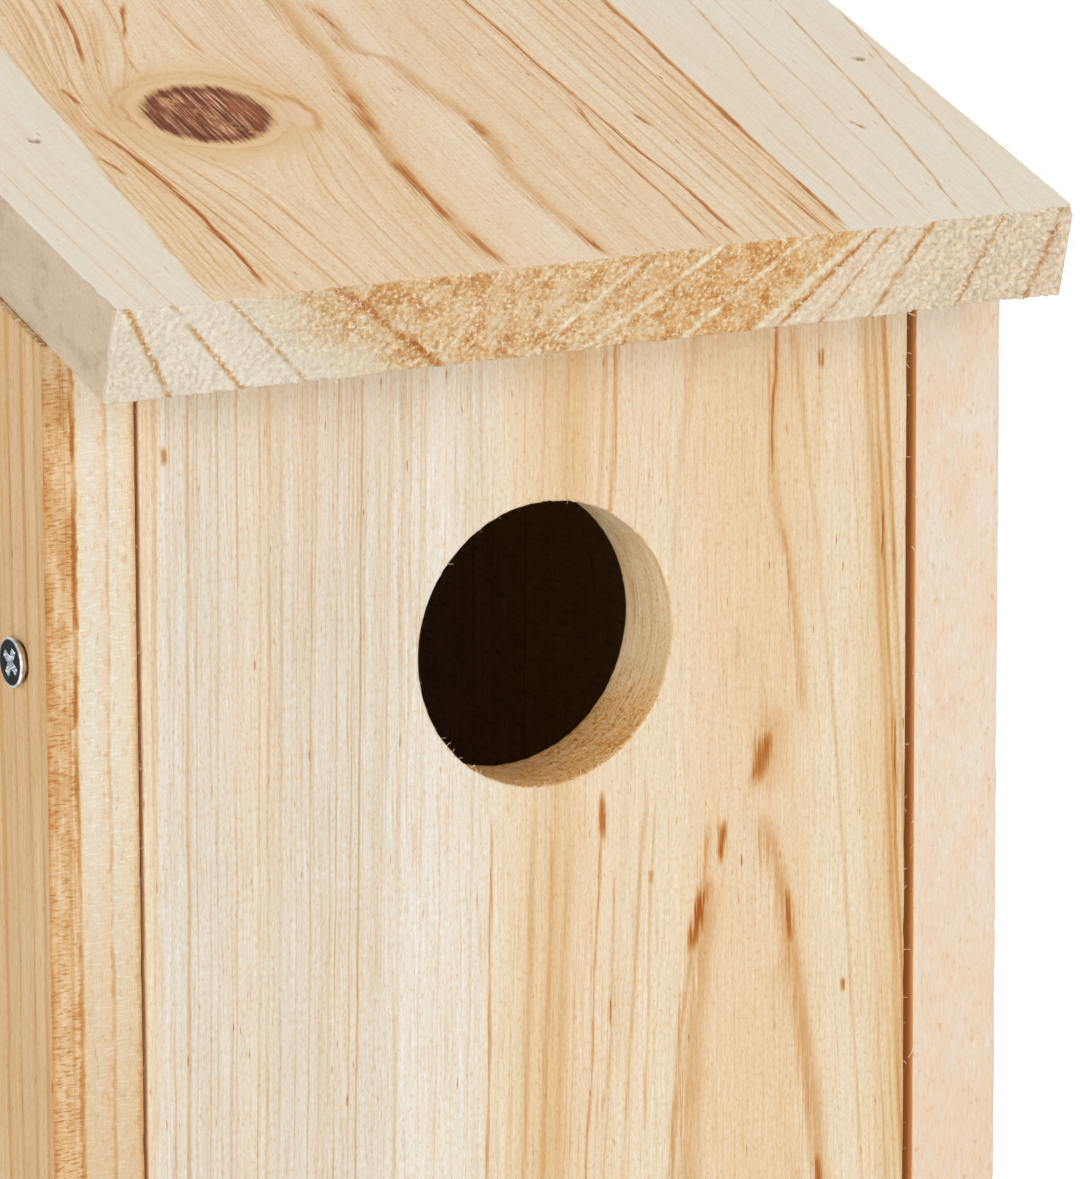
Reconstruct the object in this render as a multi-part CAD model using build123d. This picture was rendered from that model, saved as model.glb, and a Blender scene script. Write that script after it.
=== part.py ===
from build123d import *
import os
from math import cos, radians, sin, tan

# A nest box of planed softwood boards. A lean-to roof falls to the front. The front panel hangs
# between the side walls on two screws and swings out at the bottom for cleaning.
# Millimetres, +Z up, front towards -Y. Pieces are drawn with Y = 0 on the front edges of the
# side walls, then moved so that the origin is under the middle of the whole box.

# Box
width = 120.0              # outside, across both side walls
depth = 130.0              # front edges of the walls to the back face
front_height = 189.9       # side walls at the front, up to the roof's underside
board = 11.0               # thickness of every board
run_out = 1.0              # a drill starts and ends this far past a face

# Roof
slope = 16.0               # degrees, falling to the front
roof_width = 118.6         # nearly flush with the side walls
roof_overhang = 14.0       # lower front edge, ahead of the side walls

# Front panel
hole_diameter = 32.0       # entrance for small hole-nesting birds
hole_height = 150.0
hole_offset = 1.4          # drilled a little to the right of the box's middle
panel_bottom = 1.0
panel_top = 188.0
panel_gap_left = 0.5       # running gaps to the side walls
panel_gap_right = 1.2

# Pivot screws, one through each side wall into the panel's edge
pivot_height = 154.0
pivot_setback = 6.7        # behind the front faces
screw_diameter = 3.0
screw_length = 30.0
head_diameter = 5.6
head_rim = 0.3             # straight edge of the countersunk head
head_proud = 1.1           # not driven home, so that the panel can swing
point_length = 4.0
point_diameter = 0.6
recess_span = 3.0          # cross recess: tip to tip, width of a wing, depth
recess_wing = 0.8
recess_depth = 1.2
recess_turn = 30.0         # degrees, as the screw happened to stop
running_gap = 0.1          # radial, for a shank that turns in wood
seat_gap = 0.3             # along the axis, under the countersunk head

# Floor
floor_gap = 0.4            # floor's front edge to the panel's back, the closed stop
drain_diameter = 6.0
drain_inset_x = 36.0       # from the middle
drain_rows = (45.0, 105.0)  # from the front

# Hanging holes in the back wall
hang_diameter = 5.5
hang_heights = (40.0, 205.0)

# Latch hook in the right wall's front edge
wire_diameter = 3.0
latch_height = 25.0
latch_depth = 24.0         # shank in the wood
latch_reach = 4.0          # wall's front edge to the arm's middle line
latch_bend = 3.0           # bend radius on the wire's middle line
latch_arm = 18.0           # shank axis to the arm's tip
tip_round = 0.5

# Brads, driven by a nail gun and sunk below the surface
brad_diameter = 1.2
brad_length = 30.0
brad_sink = 1.0
brad_point = 1.5
brad_point_diameter = 0.3
brad_gap = 0.05            # radial, so that wood and steel only just clear
brad_end_gap = 0.5         # wood left open below the point
roof_brad_left_x = -49.6   # left row enters near the wall's inner face and leans outwards
roof_brad_left_lean = 10.0
roof_brad_right_x = 54.6
roof_brad_end = 41.0       # from the roof's front or rear end
roof_brad_rear_x = 30.0
roof_brad_rear_aim = 121.0  # Y where a rear brad meets the back wall's top
back_brad_heights = (40.0, 115.0, 190.0)
floor_brad_rows = (30.0, 88.0)
floor_brad_rear_x = 22.0

# Worked out from the above
half_width = width / 2
inner_half = half_width - board
pitch = radians(slope)
roof_length = (depth + roof_overhang) / cos(pitch)
roof_reach = roof_overhang + board * sin(pitch)
panel_left = panel_gap_left - inner_half
panel_right = inner_half - panel_gap_right
back_y = depth - board
floor_y = board + floor_gap
shank_r = screw_diameter / 2
head_r = head_diameter / 2
wire_r = wire_diameter / 2
brad_r = brad_diameter / 2
latch_x = half_width - board / 2
to_origin = Pos(0, (roof_reach - depth) / 2, 0)

roof_plane = Plane(
    origin=(0, -roof_overhang, front_height - roof_overhang * tan(pitch)),
    x_dir=(1, 0, 0),
    z_dir=(0, -sin(pitch), cos(pitch)),
)


# A fastener's seat is a location on the outer surface, with +Z pointing out of the wood.
def seat_left(y, z):
    return Pos(-half_width, y, z) * Rot(0, -90, 0)


def seat_right(y, z):
    return Pos(half_width, y, z) * Rot(0, 90, 0)


def seat_rear(x, z):
    return Pos(x, depth, z) * Rot(-90, 0, 0)


def seat_roof(x, along, lean=0):
    return roof_plane.location * Pos(x, along, board) * Rot(0, lean, 0)


roof_rows = (roof_brad_end, roof_length - roof_brad_end)
roof_rear_row = (roof_brad_rear_aim + roof_overhang) / cos(pitch)
back_brad_y = depth - board / 2
brad_seats = {
    "roof_brads_left": [seat_roof(roof_brad_left_x, s, roof_brad_left_lean) for s in roof_rows],
    "roof_brads_right": [seat_roof(roof_brad_right_x, s) for s in roof_rows],
    "roof_brads_rear": [seat_roof(x, roof_rear_row) for x in (-roof_brad_rear_x, roof_brad_rear_x)],
    "back_brads_left": [seat_left(back_brad_y, z) for z in back_brad_heights],
    "back_brads_right": [seat_right(back_brad_y, z) for z in back_brad_heights],
    "floor_brads_left": [seat_left(y, board / 2) for y in floor_brad_rows],
    "floor_brads_right": [seat_right(y, board / 2) for y in floor_brad_rows],
    "floor_brads_rear": [seat_rear(x, board / 2) for x in (-floor_brad_rear_x, floor_brad_rear_x)],
}
pivot_seats = {
    "left": seat_left(pivot_setback, pivot_height),
    "right": seat_right(pivot_setback, pivot_height),
}


def stem(radius, length, start=0.0):
    """A round bar that runs from `start` below a seat down into the wood."""
    down = (Align.CENTER, Align.CENTER, Align.MAX)
    return Pos(0, 0, -start) * Cylinder(radius, length, align=down)


def taper(top_radius, bottom_radius, height, start=0.0):
    """A cone that narrows from `start` below a seat down into the wood."""
    down = (Align.CENTER, Align.CENTER, Align.MAX)
    return Pos(0, 0, -start) * Cone(bottom_radius, top_radius, height, align=down)


def brad(seat):
    straight = brad_length - brad_point
    pin = stem(brad_r, straight, brad_sink)
    point = taper(brad_r, brad_point_diameter / 2, brad_point, brad_sink + straight)
    return seat * (pin + point)


def brad_holes(board_solid, *groups):
    """Cut the holes of the named groups of brads into one board."""
    reach = run_out + brad_sink + brad_length + brad_end_gap
    hole = stem(brad_r + brad_gap, reach, -run_out)
    for group in groups:
        for seat in brad_seats[group]:
            board_solid -= seat * hole
    return board_solid


def pivot_screw(seat):
    cone_height = head_r - shank_r
    below_head = head_rim + cone_height - head_proud
    straight = screw_length - head_rim - cone_height - point_length
    head = stem(head_r, head_rim, -head_proud)
    head += taper(head_r, shank_r, cone_height, head_rim - head_proud)
    shank = stem(shank_r, straight, below_head)
    shank += taper(shank_r, point_diameter / 2, point_length, below_head + straight)
    wing = Box(recess_span, recess_wing, 2 * recess_depth)
    recess = Pos(0, 0, head_proud) * Rot(0, 0, recess_turn) * (wing + Rot(0, 0, 90) * wing)
    return seat * (head + shank - recess)


def pivot_clearance(seat):
    """What a side wall loses: a running bore and a shallow countersink under the head."""
    bore_r = shank_r + running_gap
    sink_r = head_r - (head_proud - head_rim) + seat_gap + run_out
    bore = stem(bore_r, board + 2 * run_out, -run_out)
    return seat * (bore + taper(sink_r, bore_r, sink_r - bore_r, -run_out))


def pivot_pilot(seat):
    """What the panel loses: a close hole for the thread."""
    return seat * stem(shank_r + brad_gap, screw_length)


def side_board(x_low):
    back_height = front_height + depth * tan(pitch)
    outline = make_face(Polyline(
        (0, 0), (depth, 0), (depth, back_height), (0, front_height), close=True,
    ))
    return Pos(x_low, 0, 0) * extrude(Plane.YZ * outline, board)


def left_wall():
    wall = side_board(-half_width) - pivot_clearance(pivot_seats["left"])
    return brad_holes(wall, "roof_brads_left", "back_brads_left", "floor_brads_left")


def right_wall():
    wall = side_board(inner_half) - pivot_clearance(pivot_seats["right"])
    shank = Cylinder(wire_r + running_gap, 2 * (latch_depth + run_out))
    wall -= Pos(latch_x, 0, latch_height) * Rot(90, 0, 0) * shank
    return brad_holes(wall, "roof_brads_right", "back_brads_right", "floor_brads_right")


def back_wall():
    top_front = front_height + back_y * tan(pitch)
    top_rear = front_height + depth * tan(pitch)
    outline = make_face(Polyline(
        (back_y, 0), (depth, 0), (depth, top_rear), (back_y, top_front), close=True,
    ))
    wall = extrude(Plane.YZ * outline, inner_half, both=True)
    for z in hang_heights:
        wall -= Pos(0, depth - board / 2, z) * Rot(90, 0, 0) * Cylinder(hang_diameter / 2, 2 * board)
    groups = ("roof_brads_rear", "back_brads_left", "back_brads_right", "floor_brads_rear")
    return brad_holes(wall, *groups)


def floor():
    low = (Align.CENTER, Align.MIN, Align.MIN)
    base = Pos(0, floor_y, 0) * Box(2 * inner_half, back_y - floor_y, board, align=low)
    for x in (-drain_inset_x, drain_inset_x):
        for y in drain_rows:
            base -= Pos(x, y, board / 2) * Cylinder(drain_diameter / 2, 2 * board)
    return brad_holes(base, "floor_brads_left", "floor_brads_right", "floor_brads_rear")


def roof():
    low = (Align.CENTER, Align.MIN, Align.MIN)
    sheet = roof_plane * Box(roof_width, roof_length, board, align=low)
    return brad_holes(sheet, "roof_brads_left", "roof_brads_right", "roof_brads_rear")


def front_panel():
    low = (Align.MIN, Align.MIN, Align.MIN)
    size = (panel_right - panel_left, board, panel_top - panel_bottom)
    panel = Pos(panel_left, 0, panel_bottom) * Box(*size, align=low)
    bore = Cylinder(hole_diameter / 2, 4 * board)
    panel -= Pos(hole_offset, 0, hole_height) * Rot(90, 0, 0) * bore
    for seat in pivot_seats.values():
        panel -= pivot_pilot(seat)
    return panel


def latch_hook():
    """A wire bent square: the shank turns in the wall, the arm hangs down when open."""
    corner = (latch_x, -latch_reach, latch_height)
    route = FilletPolyline(
        (latch_x, latch_depth, latch_height), corner,
        (latch_x, -latch_reach, latch_height - latch_arm), radius=latch_bend,
    )
    section = Plane(origin=(latch_x, latch_depth, latch_height), z_dir=(0, -1, 0)) * Circle(wire_r)
    wire = sweep(section, path=route)
    tip_edge = wire.edges().sort_by(Axis.Z)[0]
    return fillet(tip_edge, tip_round)


pieces = {
    "roof": roof(),
    "left_wall": left_wall(),
    "right_wall": right_wall(),
    "back_wall": back_wall(),
    "floor": floor(),
    "front_panel": front_panel(),
    "left_pivot_screw": pivot_screw(pivot_seats["left"]),
    "right_pivot_screw": pivot_screw(pivot_seats["right"]),
    "latch_hook": latch_hook(),
}
for group, seats in brad_seats.items():
    pieces[group] = Part() + [brad(seat) for seat in seats]

os.makedirs("parts", exist_ok=True)
for name, piece in pieces.items():
    export_step(to_origin * piece, f"parts/{name}.step")

print("origin to front edges", round((roof_reach - depth) / 2, 3))
print("roof length", round(roof_length, 2))
print("height", round(front_height + depth * tan(pitch) + board * cos(pitch), 2))
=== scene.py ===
"""Nest box of fir boards with a lean-to roof and a front panel that swings out for cleaning."""

import math
import random

import bmesh
import bpy
from mathutils import Matrix, Vector, noise


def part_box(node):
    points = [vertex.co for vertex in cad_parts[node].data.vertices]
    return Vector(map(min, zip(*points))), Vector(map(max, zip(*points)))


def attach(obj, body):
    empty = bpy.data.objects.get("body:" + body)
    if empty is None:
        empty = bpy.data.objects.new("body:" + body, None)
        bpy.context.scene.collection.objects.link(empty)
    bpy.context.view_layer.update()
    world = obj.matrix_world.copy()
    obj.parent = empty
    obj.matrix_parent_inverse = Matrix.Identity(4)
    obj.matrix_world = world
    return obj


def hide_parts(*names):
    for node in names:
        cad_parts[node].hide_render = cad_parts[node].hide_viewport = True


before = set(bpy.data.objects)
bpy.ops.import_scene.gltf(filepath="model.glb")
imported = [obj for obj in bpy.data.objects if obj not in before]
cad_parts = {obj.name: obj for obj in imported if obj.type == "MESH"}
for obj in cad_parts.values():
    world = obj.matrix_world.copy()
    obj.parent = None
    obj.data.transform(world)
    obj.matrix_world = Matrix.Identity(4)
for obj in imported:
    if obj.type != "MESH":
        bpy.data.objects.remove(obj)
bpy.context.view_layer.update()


# Left wall: a sawn fir board, 11 mm thick, grain upright, its top end cut to the roof's slope.
# Its front edge was left rough from the saw. A countersunk hole takes the pivot screw, and
# five small brad holes hold the back and the floor.
MM = 0.001


def put(name, data):
    """A new object in the scene."""
    made = bpy.data.objects.new(name, data)
    bpy.context.scene.collection.objects.link(made)
    return made


def clamp(value):
    return max(0.0, min(1.0, value))


def place_board(corner, across, along, deep):
    """A matrix from millimetres across, along and into a board to millimetres in the box."""
    columns = [Vector(across), Vector(along), Vector(deep), Vector(corner)]
    rows = [[column[i] for column in columns] for i in range(3)]
    return Matrix(rows + [[0, 0, 0, 1]])


def walk_round(corners, step, end_step, rounding):
    """Points round a board's face, each with the direction that faces out of the board."""
    arc_parts = 4
    arcs = []
    for i, corner in enumerate(corners):
        corner = Vector(corner)
        coming = (corner - Vector(corners[i - 1])).normalized()
        going = (Vector(corners[(i + 1) % len(corners)]) - corner).normalized()
        turn = math.atan2(coming.cross(going), coming.dot(going))
        outward = Vector((coming.y, -coming.x))
        reach = rounding * math.tan(turn / 2)
        centre = corner - coming * reach - outward * rounding
        arc = []
        for k in range(arc_parts + 1):
            facing = Matrix.Rotation(turn * k / arc_parts, 2) @ outward
            arc.append((centre + facing * rounding, facing))
        arcs.append(arc)
    points = []
    for i, arc in enumerate(arcs):
        points.extend(arc)
        start, facing = arc[-1]
        end = arcs[(i + 1) % len(arcs)][0][0]
        parts = max(1, round((end - start).length / (end_step if abs(facing.y) > 0.7 else step)))
        points.extend((start.lerp(end, k / parts), facing) for k in range(1, parts))
    return points


def fibre_relief(across, along, deep, seed):
    """How far sawn wood stands back, 0 to 1, in ridges along the grain."""
    coarse = noise.noise(Vector((across * 0.9 + seed, along * 0.06, deep * 0.9)))
    fine = noise.noise(Vector((across * 2.6, along * 0.22 + seed, deep * 2.6)))
    return clamp(0.5 + 0.35 * coarse + 0.45 * fine)


def crumb_relief(across, deep, seed):
    """How far a sawn end stands back, 0 to 1, in torn crumbs about half a millimetre across."""
    broad = noise.noise(Vector((across * 0.4, deep * 0.4, seed)))
    crumb = noise.noise(Vector((across * 1.5, deep * 1.5, seed + 4)))
    fine = noise.noise(Vector((across * 3.0, deep * 3.0, seed + 9)))
    return clamp(0.42 + 0.2 * broad + 0.5 * crumb + 0.4 * fine)


def saw_board(name, lay, corners, thick, holes, step, end_step, layers, seed, tear=1.0, crumble=0.16,
              chips=(), ragged_from=None):
    """A closed board with worn arrises and through holes, as a mesh object in the box's frame.

    A hole is (across, along, [(deep, radius), ...], lean across per mm of depth, tear), a chip is
    (across, along, deep, reach, bite). The cut ends crumble more from ragged_from on."""
    corner_rounding = 0.45
    arris_range = (0.1, 0.5)
    ragged_run = 12
    hole_facet = 0.4
    ridge_deep = 0.06
    quarter = [(0.0, 1.0), (0.134, 0.5), (0.5, 0.134), (1.0, 0.0)]
    middle = sum((Vector(corner) for corner in corners), Vector((0, 0))) / len(corners)
    build = bmesh.new()
    loops = []

    columns = []
    for point, facing in walk_round(corners, step, end_step, corner_rounding):
        cut = abs(facing.y)
        worn = []
        for side in (0.0, 31.0):
            slow = noise.noise(Vector((point.x * 0.11, point.y * 0.11, seed + side)))
            chip = noise.noise(Vector((point.x * 0.35, point.y * 0.35, seed + side + 3.3)))
            size = 0.2 + 0.08 * slow + tear * 0.5 * max(0.0, chip - 0.3)
            worn.append(max(arris_range[0], min(arris_range[1], size)))
        first, last = worn
        heights = [(first * d, first * back) for d, back in quarter]
        body = thick - first - last
        heights += [(first + body * k / layers, 0.0) for k in range(1, layers)]
        heights += [(thick - last * d, last * back) for d, back in reversed(quarter)]
        column = []
        nearest = min((point - Vector(corner)).length for corner in corners)
        crumbs = crumble
        if ragged_from is not None:
            crumbs *= 1 + 0.9 * clamp((point.x - ragged_from) / ragged_run)
        for deep, back in heights:
            back += ridge_deep * tear * (1 - cut) * fibre_relief(point.x, point.y, deep, seed)
            back += crumbs * cut * crumb_relief(point.x, deep, seed)
            spot = point - facing * min(back, 0.12 + 0.6 * nearest)
            for *centre, reach, bite in chips:
                away = (Vector((point.x, point.y, deep)) - Vector(centre)).length / reach
                spot += (middle - Vector(centre[:2])).normalized() * bite * max(0.0, 1 - away * away)
            column.append(build.verts.new((spot.x, spot.y, deep)))
        columns.append(column)
    loops.append(columns)

    for across, along, profile, lean, torn in holes:
        parts = max(14, round(math.tau * profile[0][1] / hole_facet))
        columns = []
        for k in range(parts):
            angle = math.tau * k / parts
            facing = Vector((math.cos(angle), math.sin(angle)))
            cut = abs(facing.y)
            column = []
            for j, (deep, radius) in enumerate(profile):
                spot = Vector((across + lean * deep, along)) + facing * radius
                back = torn * fibre_relief(spot.x, spot.y, deep, seed + 5) * (ridge_deep + 0.2 * cut)
                if j in (0, len(profile) - 1):
                    back += torn * 0.5 * max(0.0, noise.noise(Vector((spot.x * 2.2, spot.y * 2.2, seed))))
                spot += facing * back
                column.append(build.verts.new((spot.x, spot.y, deep)))
            columns.append(column)
        loops.append(columns)

    for columns in loops:
        for column, beside in zip(columns, columns[1:] + columns[:1]):
            for j in range(len(column) - 1):
                face = build.faces.new((column[j], beside[j], beside[j + 1], column[j + 1]))
                face.smooth = True
    for rim in (0, -1):
        edges = []
        for columns in loops:
            for column, beside in zip(columns, columns[1:] + columns[:1]):
                edges.append(build.edges.get((column[rim], beside[rim])))
        bmesh.ops.triangle_fill(build, use_beauty=False, edges=edges, normal=(0, 0, 1))
    build.transform(Matrix.Scale(MM, 4) @ lay)
    bmesh.ops.recalc_face_normals(build, faces=build.faces)
    mesh = bpy.data.meshes.new(name)
    build.to_mesh(mesh)
    build.free()
    return put(name, mesh)


class Tone:
    """A socket in a node tree, so that shades and shapes are written as sums and products."""

    def __init__(self, tree, socket=None):
        self.tree = tree
        self.socket = socket

    def node(self, kind, sockets=None, out=0, **settings):
        made = self.tree.nodes.new(kind)
        for key, value in settings.items():
            setattr(made, key, value)
        for key, value in (sockets or {}).items():
            if not isinstance(value, (Tone, list)):
                made.inputs[key].default_value = value
                continue
            for part in value if isinstance(value, list) else [value]:
                self.tree.links.new(part.socket, made.inputs[key])
        return Tone(self.tree, made.outputs[out])

    def maths(self, operation, first, second=0.0, third=0.5):
        return self.node("ShaderNodeMath", {0: first, 1: second, 2: third}, operation=operation)

    def vector(self, x=0.0, y=0.0, z=0.0):
        return self.node("ShaderNodeCombineXYZ", {0: x, 1: y, 2: z})

    def share(self, low, high):
        """How far between two levels the tone is, from 0 to 1."""
        return self.node("ShaderNodeMapRange", {0: self, 1: low, 2: high})

    def colours(self, stops):
        """A colour for the tone, from stops (place, colour) between 0 and 1."""
        made = self.node("ShaderNodeValToRGB", {0: self})
        held = made.socket.node.color_ramp.elements
        for place, _ in stops[1:-1]:
            held.new(place)
        for stop, (place, colour) in zip(held, stops):
            stop.position = place
            stop.color = colour
        return made

    def bent(self, points):
        """A level for the tone, on a smooth curve through points (place, level) between 0 and 1."""
        made = self.node("ShaderNodeFloatCurve", {1: self})
        mapping = made.socket.node.mapping
        held = mapping.curves[0].points
        for place, level in points[1:-1]:
            held.new(place, level)
        for knee, point in zip(held, points):
            knee.location = point
        mapping.update()
        return made

    def __add__(self, other):
        return self.maths("ADD", self, other)

    def __sub__(self, other):
        return self.maths("SUBTRACT", self, other)

    def __rsub__(self, other):
        return self.maths("SUBTRACT", other, self)

    def __mul__(self, other):
        return self.maths("MULTIPLY", self, other)

    def __truediv__(self, other):
        return self.maths("DIVIDE", self, other)

    def __rtruediv__(self, other):
        return self.maths("DIVIDE", other, self)

    def __abs__(self):
        return self.maths("ABSOLUTE", self)

    __radd__ = __add__
    __rmul__ = __mul__


def ease(tone, low, high, top=1.0):
    """A soft step from 0 where the tone is low to top where it is high."""
    limits = {0: tone, 1: low, 2: high, 3: 0.0, 4: top}
    return tone.node("ShaderNodeMapRange", limits, interpolation_type="SMOOTHSTEP")


def stain(base, colour, amount, blend="MIX"):
    """The base colour with some of another worked into it."""
    bench = next(part for part in (amount, base, colour) if isinstance(part, Tone))
    parts = {0: amount, 6: base, 7: colour}
    return bench.node("ShaderNodeMix", parts, out=2, data_type="RGBA", blend_type=blend)


def soak(base, amount):
    """The base colour darkened as resin darkens wood, through orange to brown, or bleached below 0."""
    film = base.node("ShaderNodeGamma", {"Color": PITCH, "Gamma": amount})
    return stain(base, film, 1.0, "MULTIPLY")


def far(first, second):
    """The length of the long side over two short ones."""
    return first.maths("SQRT", first * first + second * second)


def mottle(parts, detail, rough, seed):
    """Noise from 0 to 1 over up to three measures, each given with its changes per millimetre."""
    bench = parts[0][0]
    spread = [bench.maths("MULTIPLY_ADD", measure, rate, seed) for measure, rate in parts]
    spot = bench.vector(*spread, *[seed] * (3 - len(spread)))
    limits = {"Vector": spot, "Scale": 1.0, "Detail": detail, "Roughness": rough}
    return bench.node("ShaderNodeTexNoise", limits, noise_dimensions="3D")


def new_paint(name):
    """A new material, and a bench in it to work out shades on."""
    material = bpy.data.materials.new(name)
    material.use_nodes = True
    return material, Tone(material.node_tree)


def coat(material, looks):
    """Sets inputs of a material's surface, each to a level or to a tone."""
    tree = material.node_tree
    surface = tree.nodes["Principled BSDF"]
    for key, look in looks.items():
        if isinstance(look, Tone):
            tree.links.new(look.socket, surface.inputs[key])
        else:
            surface.inputs[key].default_value = look


def shade(red, green, blue):
    """A colour as a paint card gives it, 0 to 255, made linear for the shader."""
    levels = [level / 255 for level in (red, green, blue)]
    return (*(c / 12.92 if c <= 0.04045 else ((c + 0.055) / 1.055) ** 2.4 for c in levels), 1.0)


CREAM = shade(238, 227, 208)
IVORY = shade(246, 237, 221)
MILK = shade(232, 221, 204)
STRAW = shade(240, 221, 191)
BLUSH = shade(241, 218, 190)
WHEAT = shade(239, 212, 176)
HONEY = shade(231, 198, 150)
AMBER = shade(212, 156, 92)
UMBER = shade(122, 66, 34)
FUZZ = shade(210, 158, 104)
PITCH = (0.48, 0.165, 0.037, 1.0)


class Heart:
    """Where the tree's middle runs past a board: across it, behind its face, at a height, leaning."""

    def __init__(self, across, behind, height, lean, base):
        self.across = across
        self.behind = behind
        self.height = height
        self.lean = lean
        self.base = base

    def depth(self, along):
        return self.behind + (along - self.height) * self.lean

    def ring(self, across, along):
        """How far from the heart the growth ring through a point of the face is at the base height."""
        reach = (across - self.across) ** 2 + self.depth(along) ** 2 - self.depth(self.base) ** 2
        return math.sqrt(max(reach, 0.0))


def fir(name, lay, heart, tints, lines=(), streaks=(), sap=(), ends=None, end_lines=(), bow=None, knot=None,
        edge=None, bore=None, inner=None, span=None, fine=1.0, wander=1.6, seed=0.0):
    """Fir wood for one board: growth rings round the heart, named dark lines, fibres and cut ends.

    tints and ends are (across, colour) in order. lines follow the rings: (across, along, half
    width, strength), and from where to where along the board if they are short. streaks run through
    points (along, across): ([points], half width, strength). sap is pale wood on one side of such a
    run: ([points], side, colour). end_lines cross the cut ends: (across at the face, across behind,
    half width, strength, colour or None for resin). A knot is (across, along, radius), with the
    place of the pale eye beside it. span is where along the board its cut ends lie, its thickness
    and where across it the ends get ragged. bow bends the run of the grain and edge colours the
    long edges. bore is a drilled hole (across, along, radius), inner the depth of the sawn inside
    face. fine sets how strong the fine grain is and wander how far it strays."""
    material, bench = new_paint(name)
    spot = bench.node("ShaderNodeTexCoord", out="Object")
    facing = bench.node("ShaderNodeTexCoord", out="Normal")

    def along_axis(vector, axis):
        return bench.node("ShaderNodeVectorMath", {0: vector, 1: axis}, out=1, operation="DOT_PRODUCT")

    def most(first, second):
        return second if first is None else bench.maths("MAXIMUM", first, second)

    measures = lay.inverted()
    across, along, deep = (
        along_axis(spot, tuple(part / MM for part in row[:3])) + row[3] for row in measures[:3]
    )
    end_cut = ease(abs(along_axis(facing, tuple(lay.col[1][:3]))), 0.45, 0.75)
    side_cut = ease(abs(along_axis(facing, tuple(lay.col[0][:3]))), 0.5, 0.8)
    face_cut = ease(abs(along_axis(facing, tuple(lay.col[2][:3]))), 0.5, 0.8)
    if span:
        low, high, thick, ragged_from = span
        sawn_end = ease(along, low + 1.1, low + 0.7) + ease(along, high - 1.1, high - 0.7)
        end_cut = most(end_cut, sawn_end * ease(deep, 0.08, 0.25) * ease(deep, thick - 0.08, thick - 0.25))

    slow = mottle([(across, 0.03), (along, 0.012), (deep, 0.03)], 2, 0.5, seed)
    waver = mottle([(across, 0.3), (along, 0.07), (deep, 0.3)], 2, 0.5, seed + 1)
    flow = across + (slow - 0.5) * wander + (waver - 0.5) * 0.5
    if bow:
        flow = bow(flow, along)
    if knot:
        knot_across, knot_along, radius, eye_across, eye_along = knot
        aside = flow - knot_across
        above = along - knot_along
        gap = aside * aside + above * above * 0.4 + 1.0
        flow = knot_across + aside * (1 - radius * radius / gap)
    aside = flow - heart.across
    behind = deep - heart.behind - (along - heart.height) * heart.lean
    reach = aside * aside + behind * behind - heart.depth(heart.base) ** 2
    ring = bench.maths("SQRT", bench.maths("MAXIMUM", reach, 0.0))
    turned = bench.maths("SIGN", aside) * ring - aside
    place = flow + turned * ease(abs(aside), 6.0, 22.0)

    def dye(stops):
        first, last = stops[0][0], stops[-1][0]
        parts = [((mark - first) / (last - first), colour) for mark, colour in stops]
        return place.share(first, last).colours(parts)

    def run(points):
        points = sorted(points)
        low, high = points[0][0], points[-1][0]
        left = min(point[1] for point in points)
        wide = max(max(point[1] for point in points) - left, 0.01)
        bend = [((point[0] - low) / (high - low), (point[1] - left) / wide) for point in points]
        return along.share(low, high).bent(bend) * wide + left, low, high

    thread = mottle([(flow, 2.7), (along, 0.08), (deep, 2.7)], 4, 0.75, seed + 10)
    drawn = across + (waver - 0.5) * 0.9
    wood = dye(tints)
    growth = mottle([(ring, 0.4), (along, 0.004)], 4, 0.7, seed + 2)
    hair = mottle([(ring, 1.5), (along, 0.008)], 4, 0.7, seed + 4)
    sides = 0.2 + ease(abs(aside), 3.0, 14.0, 0.8)
    speck = mottle([(across, 3.4), (along, 1.3), (deep, 3.4)], 2, 0.65, seed + 12)
    pitch = ease(growth, 0.5, 0.68, 0.08 * fine) - ease(growth, 0.48, 0.32, 0.04 * fine)
    pitch = (pitch + ease(hair, 0.54, 0.67, 0.17 * fine)) * sides
    pitch = pitch + ease(thread, 0.52, 0.68, 0.18 * fine) - ease(thread, 0.48, 0.32, 0.07)
    pitch = pitch + ease(speck, 0.53, 0.72, 0.12) - ease(speck, 0.47, 0.3, 0.06)
    for points, side, colour in sap:
        edge_of_sap = (drawn + (thread - 0.5) * 1.5 - run(points)[0]) * side
        sapwood = ease(edge_of_sap, -0.3, 0.4)
        wood = stain(wood, colour, sapwood)
        pitch = pitch * (1 - sapwood * 0.6)
    patch = mottle([(across, 0.05), (along, 0.018), (deep, 0.05)], 2, 0.5, seed + 6)
    wood = stain(wood, BLUSH, ease(patch, 0.45, 0.7, 0.4))

    fade = mottle([(ring, 0.6), (along, 0.03)], 3, 0.6, seed + 8)
    left_marks = right_marks = None
    for mark, height, half, strength, *limits in lines:
        low, high = limits or (None, None)
        near = ease(abs(ring - heart.ring(mark, height)), half, 0.0, strength)
        if low is not None:
            near = near * ease(along, low - 4, low + 4)
        if high is not None:
            near = near * ease(along, high + 4, high - 4)
        if mark < heart.across:
            left_marks = most(left_marks, near)
        else:
            right_marks = most(right_marks, near)
    marks = None
    if left_marks is not None:
        marks = left_marks * ease(aside, 1.5, -1.5)
    if right_marks is not None:
        marks = most(marks, right_marks * ease(aside, -1.5, 1.5))
    if marks is not None:
        marks = marks * ease(fade, 0.15, 0.6)

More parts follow.
